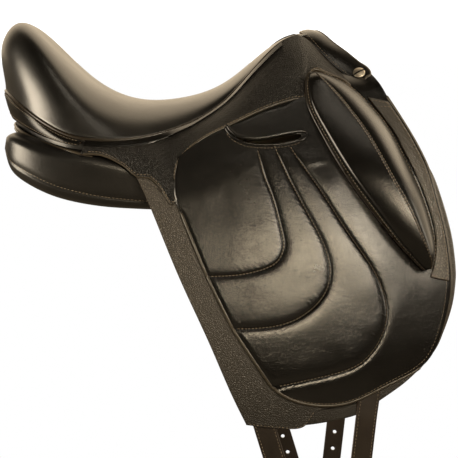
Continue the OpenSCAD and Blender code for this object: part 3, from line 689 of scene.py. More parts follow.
rightUp = (0, -1, 0.3)
skirtPiece = sheet("skirt_right", 190, 40, placeSkirt, "skirt", rightUp, skirt["thickness"], 0.9, "edge")
bothSides(skirtPiece, ["skirt"])
hem = [skirtSpot(lerp(0.02, 0.985, i / 420), skirt["hem"]) for i in range(421)]
sewn("skirtThread", placeSkirt, [hem], (0, 1, 0.3))
beadPath = [placeSkirt(u, v) for u, v in acrossAt(1, 0.004, 0.996, 320)]
beaded("skirtBead", [p - Vector((0, skirt["beadSink"], 0)) for p in beadPath], skirt["bead"])


# smooth strip under the welt, tilted up to the light
def placeBolster(u, v):
    along = lerp(0.0, skirt["rollEnd"], u)
    span = (placeSkirt(along, 1) - placeSkirt(along, 0)).length
    tilt = lerp(0.5, skirt["bolster"], ease((along - 0.2) / 0.3))
    out = tilt * v * (1 - ease((v - 0.78) / 0.22)) + 0.5 * (1 - v)
    return placeSkirt(along, v * skirt["rollWidth"] / span) + Vector((0, out, 0.2 * out))


bothSides(sheet("skirtRoll_right", 150, 14, placeBolster, "calf", rightUp, skirt["rollThickness"], 0.3))
print("skirts made")

# pommel band over the head
pommel = {
    "rear": line(
        (91, 0, 191.5), (92, 24, 190.5), (97, 46, 184), (110, 55, 168), (126, 64, 150), (142, 72, 136),
        (154, 78, 128.5), (163, 82, 126), (171, 83, 128)),
    "front": line(
        (112, 0, 190), (114, 14, 190), (121, 28, 185), (134, 41, 173), (150, 52, 161), (165, 62, 149),
        (174, 69, 143), (178, 75, 138), (178, 79, 133)),
    "thickness": 2.6, "crown": 1.6, "sink": 3.4, "dip": 2.4, "roll": 1.8,
    "rollShift": Vector((-0.4, -1.2, -0.8)),
}


def bandNormal(t):
    low, high = max(t - 0.02, 0), min(t + 0.02, 1)
    across = curveAt(pommel["front"], t) - curveAt(pommel["rear"], t)
    run = curveAt(pommel["front"], high) - curveAt(pommel["front"], low)
    run += curveAt(pommel["rear"], high) - curveAt(pommel["rear"], low)
    return towards(across.cross(run).normalized(), (0, 1, 1))


def placeBand(u, v):
    t = abs(2 * u - 1)
    p = between(pommel["rear"], pommel["front"], t, v)
    p = p + bandNormal(t) * (pommel["thickness"] + pommel["crown"] * hump(v))
    sink = (pommel["sink"] + pommel["dip"] * (1 - v) ** 3) * (1 - ease(t / 0.5))
    return Vector((p.x, math.copysign(p.y, 2 * u - 1), p.z - sink))


band = sheet("pommelBand", 140, 18, placeBand, "calf", upward, pommel["thickness"], 0.9, "edge", 1)
middle(band, ["pommel_band"])
sewn("pommelThread", placeBand, [acrossAt(0.12, 0.55, 0.9925, 120)], (0.2, 1, 0.6), width=0.65)
rollPath = [placeBand(0.5 + 0.5 * t / 70, 1) for t in range(71)]
rollPath += [placeBand(1, 1 - k / 12) for k in range(1, 12)]
rollPath += [placeBand(1 - 0.5 * t / 70, 0) for t in range(14)]
rollPath = [p + pommel["rollShift"] for p in rollPath]
rollPath = list(reversed(rollPath)) + [flipped(p) for p in rollPath[1:]]
# the roll's light leather is a painted highlight along the band's front edge
middle(tubePiece("pommelRoll", rollPath, pommel["roll"], "paintedSheenCord", 1, step=2.0))

# leather over the tree point, between the band's end and the flap
point = {
    "top": line(
        (132, 73, 141), (146, 78, 136), (158, 81, 133), (167, 81.5, 133), (174, 80, 135), (178.5, 77, 137)),
    "low": line((128, 121), (148, 113), (166, 108.5), (182, 105), (191, 105), (198, 107.5)),
    "away": 12.0, "bow": 3.0, "thickness": 2.4,
}


def placePoint(u, v):
    a = curveAt(point["top"], u)
    b = onSide(curveAt(point["low"], u), point["away"])
    return lerp(a, b, v) + Vector((0.3, 0.6, 0.6)) * point["bow"] * hump(v)


patchOut = (0.3, -0.6, 0.6)
bothSides(sheet("pointPatch_right", 40, 18, placePoint, "calf", patchOut, point["thickness"], 0.6, "edge"))

# slotted screws: a domed head spun from its profile, with the slot turned as in the photo
screw = {"head": 7.6, "rise": 3.0, "rim": 1.3, "shank": 2.4, "depth": 20, "slotWidth": 2.2, "slotDepth": 2.2,
         "turn": 34, "seat": 0.5, "share": 0.765, "across": 0.46}


def makeScrew():
    head, rim, shank, low, deep = [screw[key] for key in ("head", "rim", "shank", "seat", "depth")]
    profile = [(0, -deep), (shank, -deep), (shank, low), (head, low), (head, rim)]
    for k in range(1, 9):
        a = math.radians(90 * k / 8)
        profile.append((head * math.cos(a), lerp(rim, screw["rise"], math.sin(a))))
    bm = bmesh.new()
    verts = [bm.verts.new((r * mm, 0, z * mm)) for r, z in profile]
    edges = [bm.edges.new(pair) for pair in zip(verts, verts[1:])]
    bmesh.ops.spin(bm, geom=verts + edges, cent=(0, 0, 0), axis=(0, 0, 1), angle=2 * math.pi, steps=40)
    bmesh.ops.remove_doubles(bm, verts=bm.verts, dist=weldReach)
    bmesh.ops.recalc_face_normals(bm, faces=bm.faces)
    obj = dressed(linked("pommelScrew_right", bm), "nickel")
    bm = bmesh.new()
    size = Matrix.Diagonal((4 * head * mm, screw["slotWidth"] * mm, 2 * screw["slotDepth"] * mm, 1))
    bmesh.ops.create_cube(bm, size=1, matrix=Matrix.Translation((0, 0, screw["rise"] * mm)) @ size)
    for f in bm.faces:
        f.material_index = 1
    obj.data.materials.append(looks["slotShade"])
    cut(obj, linked("slotBox", bm))
    obj.data.set_sharp_from_angle(angle=sharpAngle)
    here = between(pommel["rear"], pommel["front"], screw["share"], screw["across"])
    out = bandNormal(screw["share"])
    here += out * (pommel["thickness"] + pommel["crown"])
    turn = flipped(out).to_track_quat("Z", "Y").to_matrix().to_4x4()
    spin = Matrix.Rotation(math.radians(screw["turn"]), 4, "Z")
    obj.data.transform(Matrix.Translation(flipped(here) * mm) @ turn @ spin)
    return obj


screwPiece = makeScrew()
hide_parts("pommel_screws")
bothSides(screwPiece)
print("pommel made")

# cantle band under the welt, and the set-back facing below it
cantle = {
    "low": line(
        (-184, 143.5, 51), (-203, 139.5, 53.5), (-227, 125, 60), (-251, 99, 69), (-270, 62, 77),
        (-278, 30, 80), (-280, 0, 80.5)),
    "facing": line(
        (-176, 137, 40), (-200, 131, 43), (-224, 116, 50), (-246, 92, 59), (-262, 58, 65.5), (-269, 28, 67),
        (-270, 0, 67)),
    "rim": line(
        (-165, 148, 37), (-181, 147, 40.5), (-197, 142, 44), (-226, 127, 51.5), (-250, 105, 60),
        (-264, 81, 65.5), (-273, 48, 69), (-276.5, 22, 70), (-277.5, 0, 70)),
    "thickness": 2.6, "crown": 1.5, "rise": 17.4, "out": 3.5, "centre": -185, "span": (0.592, 0.985),
    "rims": (("panelRim", 0.0, 2.2), ("panelRimLow", 4.4, 1.8)),
}
cantle["top"] = [edgeAt(lerp(*cantle["span"], i / 20), seat["trimAway"]) for i in range(21)]
cantle["top"].append(Vector((cantle["top"][-1].x - 1, 0, cantle["top"][-1].z + 0.6)))


def awayFromMiddle(p):
    return Vector((p.x - cantle["centre"], p.y, 0)).normalized()


def acrossBack(place):
    def whole(u, v):
        p = place(1 - abs(2 * u - 1), v)
        return Vector((p.x, math.copysign(p.y, 2 * u - 1), p.z))
    return whole


def cantleHalf(t, v):
    p = between(cantle["top"], cantle["low"], t, v)
    return p + awayFromMiddle(p) * (cantle["thickness"] + cantle["crown"] * hump(v))


def facingHalf(t, v):
    p = curveAt(cantle["facing"], t) + Vector((0, 0, cantle["rise"] * (1 - v)))
    return p + awayFromMiddle(p) * (cantle["thickness"] + cantle["out"])


depth = cantle["thickness"]
cantleBand = sheet("cantleBand", 160, 14, acrossBack(cantleHalf), "calf", rearward, depth, 0.9, "edge", 1)
middle(cantleBand, ["cantle_band"])
facing = sheet("rearFacing", 130, 8, acrossBack(facingHalf), "panel", rearward, depth, 0.6, sign=1)
middle(facing, ["rear_facing"])
rows = [acrossAt(inset, 0.03, 0.97, 130) for inset in (0.1, 0.84)]
sewn("cantleThread", cantleHalf, rows, (-1, 0.8, 0), pitch=4.0, width=0.65)
# rims in the cord leather: their light colour is a painted highlight
for name, drop, radius in cantle["rims"]:
    rim = [curveAt(cantle["rim"], i / 120) - Vector((0, 0, drop)) for i in range(121)]
    rim = rim + [flipped(p) for p in reversed(rim[:-1])]
    middle(tubePiece(name, rim, radius, "paintedSheenCord", 1, around=8))
print("cantle made")

# panels: stuffed pads with gusset seams
panel = {
    "stations": springLine(
        (-279, 84, 43), (-270, 86, 36), (-248, 88, 27), (-212, 90, 14), (-165, 91, 5), (-120, 91, 1),
        (-60, 93, 1), (0, 97, 7), (50, 97, 17), (100, 92, 28), (138, 89, 34), (156, 89, 36)),
    "sizes": springLine(
        (18, 13.5, 4), (36, 24.5, 5), (50, 31, 6), (57, 32, 8), (60, 31, 10), (60, 29, 12), (59, 27, 17),
        (58, 23, 26), (54, 20, 36), (50, 16, 48), (46, 12, 56), (36, 8, 58)),
    "power": 0.72, "seams": (130 / 132, 72 / 132), "groove": 1.8, "cap": 0.035,
    "seamWidth": 0.00012, "fullPower": 0.46, "fullLift": (0.15, 0.6), "flat": 0.12, "sewn": (0.04, 0.95),
}


def placePanel(u, v):
    cap = panel["cap"]
    inner = clamp((v - cap) / (1 - 2 * cap))
    edge = clamp(min(v, 1 - v) / cap)
    closing = max(math.sqrt(1 - (1 - edge) ** 2), 0.02)
    here, size = panel["stations"](inner), panel["sizes"](inner)
    sunk = sum(math.exp(-((u - s + 0.5) % 1 - 0.5) ** 2 / panel["seamWidth"]) for s in panel["seams"])
    groove = sunk * panel["groove"]
    c, s = math.cos(2 * math.pi * u), math.sin(2 * math.pi * u)
    full = (1 - ease((here.x + 140) / 90)) * ease(2.2 * s) * ease(2.2 * c + 0.6)
    power = lerp(panel["power"], panel["fullPower"], full)
    lift = lerp(*panel["fullLift"], ease((here.x + 255) / 90))
    wide = math.copysign(abs(c) ** power, c) * (size.x - groove)
    tall = math.copysign(abs(s) ** power, s) * (size.y - groove) * (1 + lift * full)
    tall *= 1 - panel["flat"] * ease(-3 * s) * (1 - ease((here.x + 90) / 60))
    slope = math.radians(size.z)
    ring = Vector((0, wide * math.cos(slope) + tall * math.sin(slope),
                   tall * math.cos(slope) - wide * math.sin(slope)))
    return here + ring * closing + Vector(((1 - closing) * (6 if v > 0.5 else -4), 0, 0))


panelPiece = gridPiece("panel_right", 132, 120, placePanel, "panel", wrap=True)
bothSides(panelPiece, ["panel"])
rows = []
for seam in panel["seams"]:
    spots = downAt(seam, *panel["sewn"], 220)
    path = [placePanel(u, v) for u, v in spots]
    rows.append((path, [(p - panel["stations"](v)).normalized() for p, (u, v) in zip(path, spots)]))
bothSides(stitchPiece("panelThread_right", rows, pitch=4.6, length=3.2))

lining = {
    "stations": line(
        (-268, 36, 62), (-225, 33, 44), (-165, 31, 33), (-100, 31, 30), (-40, 34, 34), (20, 38, 48),
        (70, 42, 66), (110, 44, 82), (140, 48, 90)),
    "arch": 7, "thickness": 2.2,
}


def placeLining(u, v):
    p = curveAt(lining["stations"], v)
    t = 2 * u - 1
    return Vector((p.x, p.y * t, p.z + lining["arch"] * (1 - t * t)))


channel = sheet("gulletLining", 24, 70, placeLining, "panel", downward, lining["thickness"], 0.5, sign=1)
middle(channel, ["gullet_lining"])
print("panels made")

# flap base and sweat flap: flat grained leather
flap = {
    "top": line(
        (-114, 17), (-94, 9), (-78, -7), (-59, -8), (-50, 34), (-31, 56), (3, 75.5), (43, 93.5), (90, 107),
        (150, 117), (196, 110)),
    "bottom": line(
        (21, -281), (56, -285), (88, -285), (106, -266), (132, -258), (164, -250), (193, -235), (214, -223),
        (231, -219)),
    "rear": line((-114, 17), (-98, -16), (-61.5, -102), (-26, -178), (2, -242), (21, -281)),
    "front": line(
        (197, 110), (216.5, 79), (233, 50), (246.5, 20), (256, -14), (266, -55), (271, -90), (272.5, -116),
        (268, -150), (254, -190), (231, -219)),
    "outer": 8.5, "thickness": 3.5, "rim": 1.3,
}
flapBend = {"body": "flap_tail", "span": line((100, 204.6, -118), (100, 204.6, -166))}


def placeFlap(u, v):
    return onSide(patchAt(flap, u, v), flap["outer"])


sweat = {
    "top": line((-85, 14), (-20, 14), (60, 22), (130, 44), (192, 76)),
    "bottom": line(
        (36, -279), (66, -284), (94, -284), (130, -279), (158, -272), (183, -257), (212, -238),
        (230, -223)),
    "rear": line((-85, 14), (-50, -88), (-12, -176), (36, -279)),
    "front": line(
        (192, 76), (224, 52), (247.5, 20), (260.5, -13), (272, -55), (277, -90), (277.5, -116),
        (271.5, -150), (255, -190), (230, -223)),
    "thickness": 4.0, "drawIn": 26,
}


def drawnIn(x, z):
    return sweat["drawIn"] * clamp((z + 40) / 110) ** 1.5 * (1 - ease((x - 40) / 90))


def placeSweat(u, v):
    p = patchAt(sweat, u, v)
    return onSide(p, -drawnIn(p[0], p[1]))


# slot for the stirrup leather: a rolled upper lip hangs over it
slot = {"mid": line((10, 62.5), (24, 57.5), (50, 56.8), (74, 60), (89, 62.5)), "half": 3.4, "points": 36}


def slotPoint(t, lift):
    ahead = curveAt(slot["mid"], min(t + 0.01, 1)) - curveAt(slot["mid"], max(t - 0.01, 0))
    half = slot["half"] * math.sqrt(max(1 - abs(2 * t - 1) ** 4, 0)) + 0.5
    return curveAt(slot["mid"], t) + Vector((-ahead.y, ahead.x)).normalized() * half * lift


def slotTool():
    count = slot["points"]
    ring = [slotPoint(i / count, 1) for i in range(count + 1)]
    ring += [slotPoint(1 - i / count, -1) for i in range(count + 1)]
    bm = bmesh.new()
    face = bm.faces.new([bm.verts.new(Vector((p.x, -60, p.y)) * mm) for p in ring])
    grown = bmesh.ops.extrude_face_region(bm, geom=[face])
    moved = [g for g in grown["geom"] if isinstance(g, bmesh.types.BMVert)]
    bmesh.ops.translate(bm, verts=moved, vec=(0, -0.2, 0))
    bmesh.ops.remove_doubles(bm, verts=bm.verts, dist=weldReach)
    bmesh.ops.recalc_face_normals(bm, faces=bm.faces)
    return linked("slotTool", bm)


# quilted cover: three sewn lines turn with the flap, with padding between them
cover = {
    "corner": line((-62, 38), (-69, 14), (-68, -9), (-58, -27)),
    "seam1": line(
        (19, 86), (28, 62), (35, 45), (42, 18), (53, -11), (62, -44), (66, -66), (61, -82), (46, -93),
        (13, -101), (-26, -103)),
    "seam2": line(
        (43, 97), (50, 70), (56, 50), (73, 12), (97, -32), (115, -67), (122, -100), (112, -129), (85, -152),
        (49, -163), (5, -165)),
    "seam3": line(
        (62, 103), (68, 73), (76, 48), (110, 0), (145, -53), (175, -97), (190, -137), (186, -173),
        (164, -204), (127, -220), (52, -235)),
    "edge": line(
        (195, 109), (215, 79), (231.5, 50), (245, 20), (254.5, -14), (264.5, -55), (269.5, -90),
        (271, -116), (266, -150), (253, -190), (231, -217), (193, -235), (158, -251), (126, -258),
        (97, -256), (73, -248.5), (54, -236)),
    "outer": 12.3, "thickness": 3.0, "puff": 2.5, "rise": 6.4, "crease": 0.7, "dent": 0.46, "wave": 0.4,
    "under": 3.2, "bandCols": 34, "rows": 190, "sewnFrom": 0.195, "roll": 1.9, "rollSink": 1.2,
}
coverLines = [springLine(*cover[key]) for key in ("corner", "seam1", "seam2", "seam3", "edge")]
coverRear = [at(1.0) for at in coverLines]
coverTop = [at(0.0) for at in coverLines]


def bandShare(u):
    x = clamp(u) * 4
    b = min(int(x), 3)
    w = x - b
    return b, 0.5 - 0.5 * math.cos(math.pi * w) if b < 3 else w ** 1.6


def distanceTo(path, p):
    best = 1e9
    for a, b in zip(path, path[1:]):
        along = clamp((p - a).dot(b - a) / (b - a).length_squared)
        best = min(best, (p - lerp(a, b, along)).length)
    return best


def coverSpot(u, v):
    b, w = bandShare(u)
    low, high = coverLines[b](v), coverLines[b + 1](v)
    wide = (high - low).length
    fromLow = w * wide if b > 0 else 999
    fromHigh = (1 - w) * wide if b < 3 else 999
    p = lerp(low, high, w)
    if b == 0:
        p = p + Vector((-0.49, 0.87)) * 6.5 * hump(w ** 0.75) * (1 - ease(v / 0.3))
    if b == 3:
        p = p + Vector((0, 10)) * ease(w / 0.2) * (1 - ease((w - 0.5) / 0.4)) * (1 - ease(v / 0.15))
    return b, w, p, fromLow, fromHigh


def placeCover(u, v):
    b, w, p, fromLow, fromHigh = coverSpot(u, v)
    swell = (1 - math.exp(-fromLow / cover["rise"])) * (1 - math.exp(-fromHigh / cover["rise"]))
    if b == 3:
        swell *= 1 - ease((fromLow - 5) / 80)
    swell *= ease((52 - p.y) / 26) * (0.55 + 0.45 * ease(distanceTo(coverRear, p) / 5))
    if b == 0:
        swell *= ease(distanceTo(coverTop, p) / 60) * 0.9
    # a dent at the upper edge of the pad, beside the block
    drop = 33 + 0.25 * (p.x - 112) - p.y
    if b == 3:
        swell -= cover["dent"] * ease(drop / 6) * (1 - ease(drop / 38)) * hump((fromLow - 2) / 46)
    wave = noise.noise(Vector((p.x * 0.03, p.y * 0.03, 3.0)))
    fromTop = min(v * lerp(60, 190, w), w * 95) if b == 0 else v * 190
    under = cover["under"] * (1 - ease((fromTop - 1) / 2.5)) * (1 - ease(3 * w) if b == 3 else 1)
    drawn = under + cover["crease"] * math.exp(-(min(fromLow, fromHigh) / 1.3) ** 2) * ease((52 - p.y) / 14)
    wave *= cover["wave"] * ease((40 - p.y) / 40)
    return onSide(p, cover["outer"] + cover["puff"] * swell - drawn + wave)


def coverNear(u, v):
    b, w, p, fromLow, fromHigh = coverSpot(u, v)
    return math.exp(-(min(fromLow, fromHigh) / 12) ** 2) * ease((40 - p.y) / 60)


under = sheet("sweatFlap_right", 56, 60, placeSweat, "grain", rightward, sweat["thickness"], 0.9, "edge")
bothSides(under, ["sweat_flap"])
base = sheet("flapBase_right", 84, 96, placeFlap, "grain", rightward, flap["thickness"], 0.9, "edge")
bothSides(cut(base, slotTool()), ["flap_upper", "flap_lower"], flapBend)
quilted = sheet("flapCover_right", 4 * cover["bandCols"], cover["rows"], placeCover, "quilt", rightward,
                cover["thickness"], 1.2, near=coverNear)
bothSides(cut(quilted, slotTool()), ["cover_upper", "cover_lower"], flapBend)
rows = [downAt(k / 4, cover["sewnFrom"], 0.99, 260) for k in (1, 2, 3)]
sewn("quiltThread", placeCover, rows, outside, flapBend, width=0.9, sunk=0.0)
sewn("coverThread", placeCover, [downAt(0.992, 0.4, 0.985, 260)], outside, flapBend, width=0.6)
rolled = acrossAt(1.0, 0.0, 0.75, 150) + downAt(1.0, 1.0, 0.62, 100)
rolled = [placeCover(u, v) - Vector((0, cover["rollSink"], 0)) for u, v in rolled]
beaded("coverRoll", rolled, cover["roll"], flapBend)
sewn("flapThread", placeFlap, [acrossAt(0.986, 0.02, 0.36, 60)], outside, flapBend, width=0.6)

# edges of the layers at the front, as thin cords whose light colour is a painted highlight
layers = {
    "coverRim": {"at": cover["edge"][:10], "out": cover["outer"] - 1.6, "bend": flapBend},
    "flapRim": {"at": flap["front"], "out": flap["outer"] - 1.8, "bend": flapBend},
    "sweatRim": {"at": sweat["front"][1:], "out": -1.8, "bend": None},
}
for name, layer in layers.items():
    beaded(name, sidePath(layer["at"], 150, layer["out"]), flap["rim"], layer["bend"])

lips = {
    "upper": line(
        (-3, 77), (2, 69.5), (12, 63), (29, 60), (45, 61.3), (60, 64), (80, 67.5), (92, 68), (96.5, 65),
        (94, 60.5), (86, 56.5)),
    "lower": line((-5, 74), (0, 66), (8, 59.5), (22, 54.2), (41, 52), (62, 52.8), (78, 55.6), (87, 58.5)),
    "upperOut": 1.0, "lowerOut": 0.2, "sewn": 3.6, "thin": 1.6, "swell": 1.9, "low": 1.5,
}


def lipSize(t):
    return lips["thin"] + lips["swell"] * hump(t * 1.15)


upperLip = sidePath(lips["upper"], 70, cover["outer"] + lips["upperOut"])
beaded("slotLip", upperLip, lipSize, look="calf", around=14, step=2.0)
lowerLip = sidePath(lips["lower"], 70, cover["outer"] + lips["lowerOut"])
beaded("slotLipLow", lowerLip, lips["low"], look="calf", around=10, step=2.0)
path = [onSide(curveAt(lips["lower"], lerp(0.08, 1, i / 60)) - Vector((0, lips["sewn"])), cover["outer"])
        for i in range(61)]
bothSides(stitchPiece("slotThread_right", [(path, [Vector(outside)] * 61)], width=0.6))
print("flaps made")

# thigh blocks: two facets that meet on a sewn ridge
block = {
    "rear": springLine(
        (97, 139), (96.5, 107), (108, 77), (131, 36), (154, 1), (180, -33), (204, -63), (228, -89),
        (238, -98)),
    "front": springLine(
        (113, 141), (150, 123.5), (178.5, 98), (200, 70), (222.5, 25), (238.5, -12), (249, -50),
        (251.5, -76), (247, -97)),
    "shares": springLine(*[(s, 0) for s in (0.5, 0.62, 0.74, 0.86, 0.95, 1, 0.95, 0.78, 0.45)]),
    "ridge": 0.62, "tip": 0.045, "foot": 15.1, "base": 13.1, "height": 36, "back": 0.8,
    "ridgePiping": 0.9, "piping": 1.7, "pipingSink": 0.6,
}


def blockShape(w):
    if w < block["ridge"]:
        x = w / block["ridge"]
        return 0.66 * (1 - max(1 - x / 0.22, 0) ** 3) + 0.34 * (1 - (1 - x) ** 1.6)
    return 1 - ((w - block["ridge"]) / (1 - block["ridge"])) ** 2.4


def placeBlock(u, v):
    rear, front = block["rear"](v), block["front"](v)
    tip = math.sqrt(1 - (1 - clamp(min(v, 1 - v) / block["tip"])) ** 2)
    middleLine = lerp(rear, front, 0.5)
    slim = lerp(0.3, 1, tip)
    rear, front = lerp(middleLine, rear, slim), lerp(middleLine, front, slim)
    if u <= block["back"]:
        w = u / block["back"]
        tall = block["height"] * block["shares"](v).x * blockShape(w) * tip
        return onSide(lerp(rear, front, w), block["foot"] + tall)
    t = (u - block["back"]) / (1 - block["back"])
    return onSide(lerp(front, rear, t), lerp(block["foot"], block["base"], hump(t)))


thigh = gridPiece("thighBlock_right", 80, 110, placeBlock, "calf", wrap=True, relax=2)
bothSides(thigh, ["thigh_block"])
ridge = block["ridge"] * block["back"]
rows = [downAt(w, 0.02, 0.97, 160) for w in (ridge - 0.012, ridge + 0.016, 0.03, 0.775)]
sewn("blockThread", placeBlock, rows, (0.2, 1, 0))
ridgePath = [placeBlock(ridge + 0.002, lerp(0.01, 0.98, i / 160)) for i in range(161)]
beaded("blockRidge", ridgePath, block["ridgePiping"], look="piping", step=3.0)
rearPath = [placeBlock(0.0, i / 160) - Vector((0, block["pipingSink"], 0)) for i in range(161)]
beaded("blockPiping", rearPath, block["piping"], look="piping", step=3.0)
print("thigh blocks made")

# grained strip down the flap's front edge
strip = {
    "rear": line(
        (172, 109), (201.5, 70), (213, 48), (224.5, 25), (240, -12), (250.5, -50), (252, -80), (246, -107)),
    "front": line(
        (198, 103), (213.5, 79), (230, 50), (243.5, 20), (253, -14), (263, -55), (268, -90), (268.5, -112)),
    "outer": 15.7, "thickness": 2.6, "crown": 1.2,
}


def placeStrip(u, v):
    p = between(strip["rear"], strip["front"], v, u)
    return onSide(p, strip["outer"] + strip["crown"] * hump(u))


stripPiece = sheet("frontStrip_right", 12, 90, placeStrip, "strip", rightward, strip["thickness"], 0.8,
                   "edge")
bothSides(stripPiece, ["front_strip"])
rows = [downAt(0.86, 0.02, 0.98, 120)] + [acrossAt(v, 0.08, 0.92, 12) for v in (0.02, 0.05, 0.985)]
sewn("stripThread", placeStrip, rows, outside)
print("strips made")

# girth straps: one strap each from under the flap to its tip
straps = {
    "front": {"path": line((160, 30), (171, -70), (176.1, -190), (167, -277)), "lean": -5.97, "yaw": 8.93},
    "rear": {"path": line((-45, 6), (-15, -94), (14.4, -191), (45, -291)), "lean": 17.01, "yaw": 2.43},
    "width": 26, "thickness": 3.4, "free": 230, "outer": 4.2, "tip": 16, "upperShare": 0.57,
    "holeWidth": 5.5, "holePitch": 25, "holes": 6, "firstHole": 38, "bendLength": 16,
    "follow": 0.9, "step": 6.0, "pinch": 0.66, "sewn": (0.11, 0.89),
}


def strapRule(kind):
    drawn = [curveAt(kind["path"], i / 40) for i in range(41)]
    path = [onSide(p, straps["outer"] - straps["follow"] * drawnIn(p[0], p[1])) for p in drawn]
    top = [lerp(path[k], path[k + 1], t) for k, t in evenly(path, straps["step"])]
    lean, yaw = math.radians(kind["lean"]), math.radians(kind["yaw"])
    down = Vector((math.sin(lean), 0, -math.cos(lean)))
    wide = Vector((math.cos(lean) * math.cos(yaw), -math.sin(yaw), math.sin(lean) * math.cos(yaw)))
    share = straps["upperShare"]

    def place(u, v):
        across = (u - 0.5) * straps["width"]
        if v <= share:
            here = pathAt(top, v / share)
            ahead = pathAt(top, v / share + 0.02) - pathAt(top, v / share - 0.02)
            flat = Vector((-ahead.z, 0, ahead.x)).normalized()
            return here + lerp(flat, wide, ease(v / share)).normalized() * across
        along = (v - share) / (1 - share) * straps["free"]
        inTip = clamp((along - straps["free"] + straps["tip"]) / straps["tip"])
        return top[-1] + down * along + wide * across * (1 - straps["pinch"] * inTip ** 2)

    return place, top[-1], down, towards(down.cross(wide).normalized(), outside)


def holeTool(hinge, down, out):
    bm = bmesh.new()
    turn = Vector(upward).rotation_difference(out).to_matrix().to_4x4()
    radius = straps["holeWidth"] / 2
    for i in range(straps["holes"]):
        along = straps["free"] - straps["firstHole"] - i * straps["holePitch"]
        here = hinge + down * along - out * straps["thickness"] / 2
        spot = toRight @ Matrix.Translation(here) @ turn
        bmesh.ops.create_cone(bm, cap_ends=True, segments=16, radius1=radius, radius2=radius, depth=12,
                              matrix=spot)
    bmesh.ops.recalc_face_normals(bm, faces=bm.faces)
    return linked("holeTool", bm)


for end in ("front", "rear"):
    placeStrap, hinge, down, out = strapRule(straps[end])
    strapBend = {"body": "strap_" + end, "span": (hinge, hinge + down * straps["bendLength"])}
    piece = sheet("girthStrap_" + end + "_right", 12, 150, placeStrap, "strap", rightward,
                  straps["thickness"], 0.8, "edge")
    bothSides(cut(piece, holeTool(hinge, down, out)), ["strap_top_" + end, "girth_strap_" + end], strapBend)
    rows = [downAt(u, 0.3, 0.985, 200) for u in straps["sewn"]]
    sewn("strapThread_" + end, placeStrap, rows, outside, strapBend, width=0.7)
print("straps made")

# tree and fittings keep their solids and take a finish
finishes = {
    "tree_rail": "wood", "tree_head": "wood", "tree_cantle": "wood", "head_plate": "spring",
    "gullet_plate": "spring", "spring_strip": "spring", "stirrup_bar": "bar", "bar_pin": "bar",
    "bar_catch": "bar", "bar_rivets": "bar",
}
for name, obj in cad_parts.items():
    for key, look in finishes.items():
        if name.startswith(key):
            obj.data.materials.clear()
            obj.data.materials.append(looks[look])
            smoothed(obj)
            obj.data.set_sharp_from_angle(angle=sharpAngle)
            softened(obj, fittingEdge, fittingAngle)
print("fittings finished")

# floor, light and camera
studio = {
    "floor": -0.525, "shadow": 0.34, "white": 0.56, "leastGlow": 0.55, "floorDim": (0.13, 0.119, 0.102),
    "floorSeen": (0.86, 0.86, 0.86), "toBack": (0.45, 0.9, 0), "turn": (0.15, 0.55), "room": 0.015,
    "backdrop": 1.5, "tint": (1.0, 0.81, 0.57), "aim": (0, 0, -0.05),
}


def seenRays(tree):
    rays = node(tree, "LightPath").outputs
    return maths(tree, "MAXIMUM", rays["Is Camera Ray"], rays["Is Transmission Ray"])


def makeFloor():
    bm = bmesh.new()
    bmesh.ops.create_circle(bm, cap_ends=True, segments=64, radius=30)
    bmesh.ops.translate(bm, verts=bm.verts, vec=(0, 0, studio["floor"]))
    obj = linked("studioFloor", bm)
    material, tree, shader, where = newMaterial("paleFloor")
    flat = node(tree, "VectorMath", where["Object"], (1, 1, 0), operation="MULTIPLY").outputs[0]
    away = node(tree, "VectorMath", flat, operation="LENGTH").outputs["Value"]
    fade = node(tree, "MapRange", interpolation_type="SMOOTHSTEP", Value=away, From_Min=studio["shadow"],
                From_Max=studio["white"], To_Min=studio["leastGlow"]).outputs[0]
    seen = seenRays(tree)
    tone = twoTone(tree, seen, studio["floorDim"], studio["floorSeen"])
    wired(tree, shader, Roughness=0.9, Base_Color=tone)
    glow = node(tree, "Emission", Strength=1.0).outputs[0]
    lit = node(tree, "MixShader", maths(tree, "MULTIPLY", fade, seen), shader.outputs[0], glow).outputs[0]
    # clear from below, so that the underside can be looked at
    below = node(tree, "NewGeometry").outputs["Backfacing"]
    clear = node(tree, "BsdfTransparent").outputs[0]
    whole = node(tree, "MixShader", below, lit, clear).outputs[0]
    wired(tree, tree.nodes["Material Output"], Surface=whole)
    obj.data.materials.append(material)


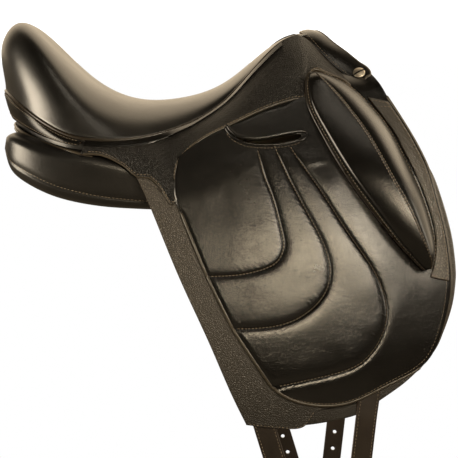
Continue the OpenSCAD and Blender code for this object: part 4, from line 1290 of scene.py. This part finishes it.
# a warm bright backdrop behind the saddle and a dim room in front of it; the camera sees white
def makeWorld():
    world = bpy.data.worlds.new("studio")
    bpy.context.scene.world = world
    world.use_nodes = True
    tree = world.node_tree
    where = node(tree, "TexCoord").outputs["Generated"]
    toBack = node(tree, "VectorMath", where, studio["toBack"], operation="DOT_PRODUCT").outputs["Value"]
    start, end = studio["turn"]
    bright = node(tree, "MapRange", interpolation_type="SMOOTHSTEP", Value=toBack, From_Min=start,
                  From_Max=end, To_Min=studio["room"], To_Max=studio["backdrop"]).outputs[0]
    seen = seenRays(tree)
    wired(tree, tree.nodes["Background"], Color=twoTone(tree, seen, studio["tint"], (1, 1, 1)),
          Strength=maths(tree, "MAXIMUM", bright, seen))


def aimed(obj, at, target):
    obj.location = at
    obj.rotation_euler = (Vector(target) - obj.location).to_track_quat("-Z", "Y").to_euler()


makeFloor()
makeWorld()
lamps = {
    "keySoft": {"at": (0.46, -2.17, 0.58), "size": (0.6, 0.24), "power": 15.5, "color": (1.0, 0.83, 0.58)},
    "fillSoft": {"at": (1.06, -1.98, 0.76), "size": (0.36, 0.5), "power": 18, "color": (1.0, 0.87, 0.68)},
    "backSoft": {"at": (1.5, 0.8, 1.2), "size": (1.0, 1.0), "power": 7, "color": (1.0, 0.82, 0.58)},
    "rightSoft": {"at": (2.2, -0.6, 0.5), "size": (0.7, 1.2), "power": 14, "color": (1.0, 0.87, 0.68)},
    "leftSoft": {"at": (-2.2, -0.72, 0.08), "size": (1.6, 1.2), "power": 66, "color": (1.0, 0.86, 0.66)},
    "topSoft": {"at": (0.2, -1.1, 1.9), "size": (0.6, 0.2), "power": 2, "color": (1.0, 0.88, 0.70)},
}
for name, lamp in lamps.items():
    light = bpy.data.lights.new(name, "AREA")
    light.shape = "RECTANGLE"
    light.size, light.size_y = lamp["size"]
    light.energy = lamp["power"]
    light.color = lamp["color"]
    obj = placed(name, light)
    aimed(obj, lamp["at"], studio["aim"])

view = {"lens": 131, "sensor": 36, "at": (0, -2.1836, 0.1981), "aim": (0, 0, -0.070)}
camera = bpy.data.cameras.new("camera")
camera.lens = view["lens"]
camera.sensor_width = view["sensor"]
eye = placed("camera", camera)
aimed(eye, view["at"], view["aim"])
bpy.context.scene.camera = eye
bpy.context.scene.view_settings.view_transform = "Standard"
print("studio made")
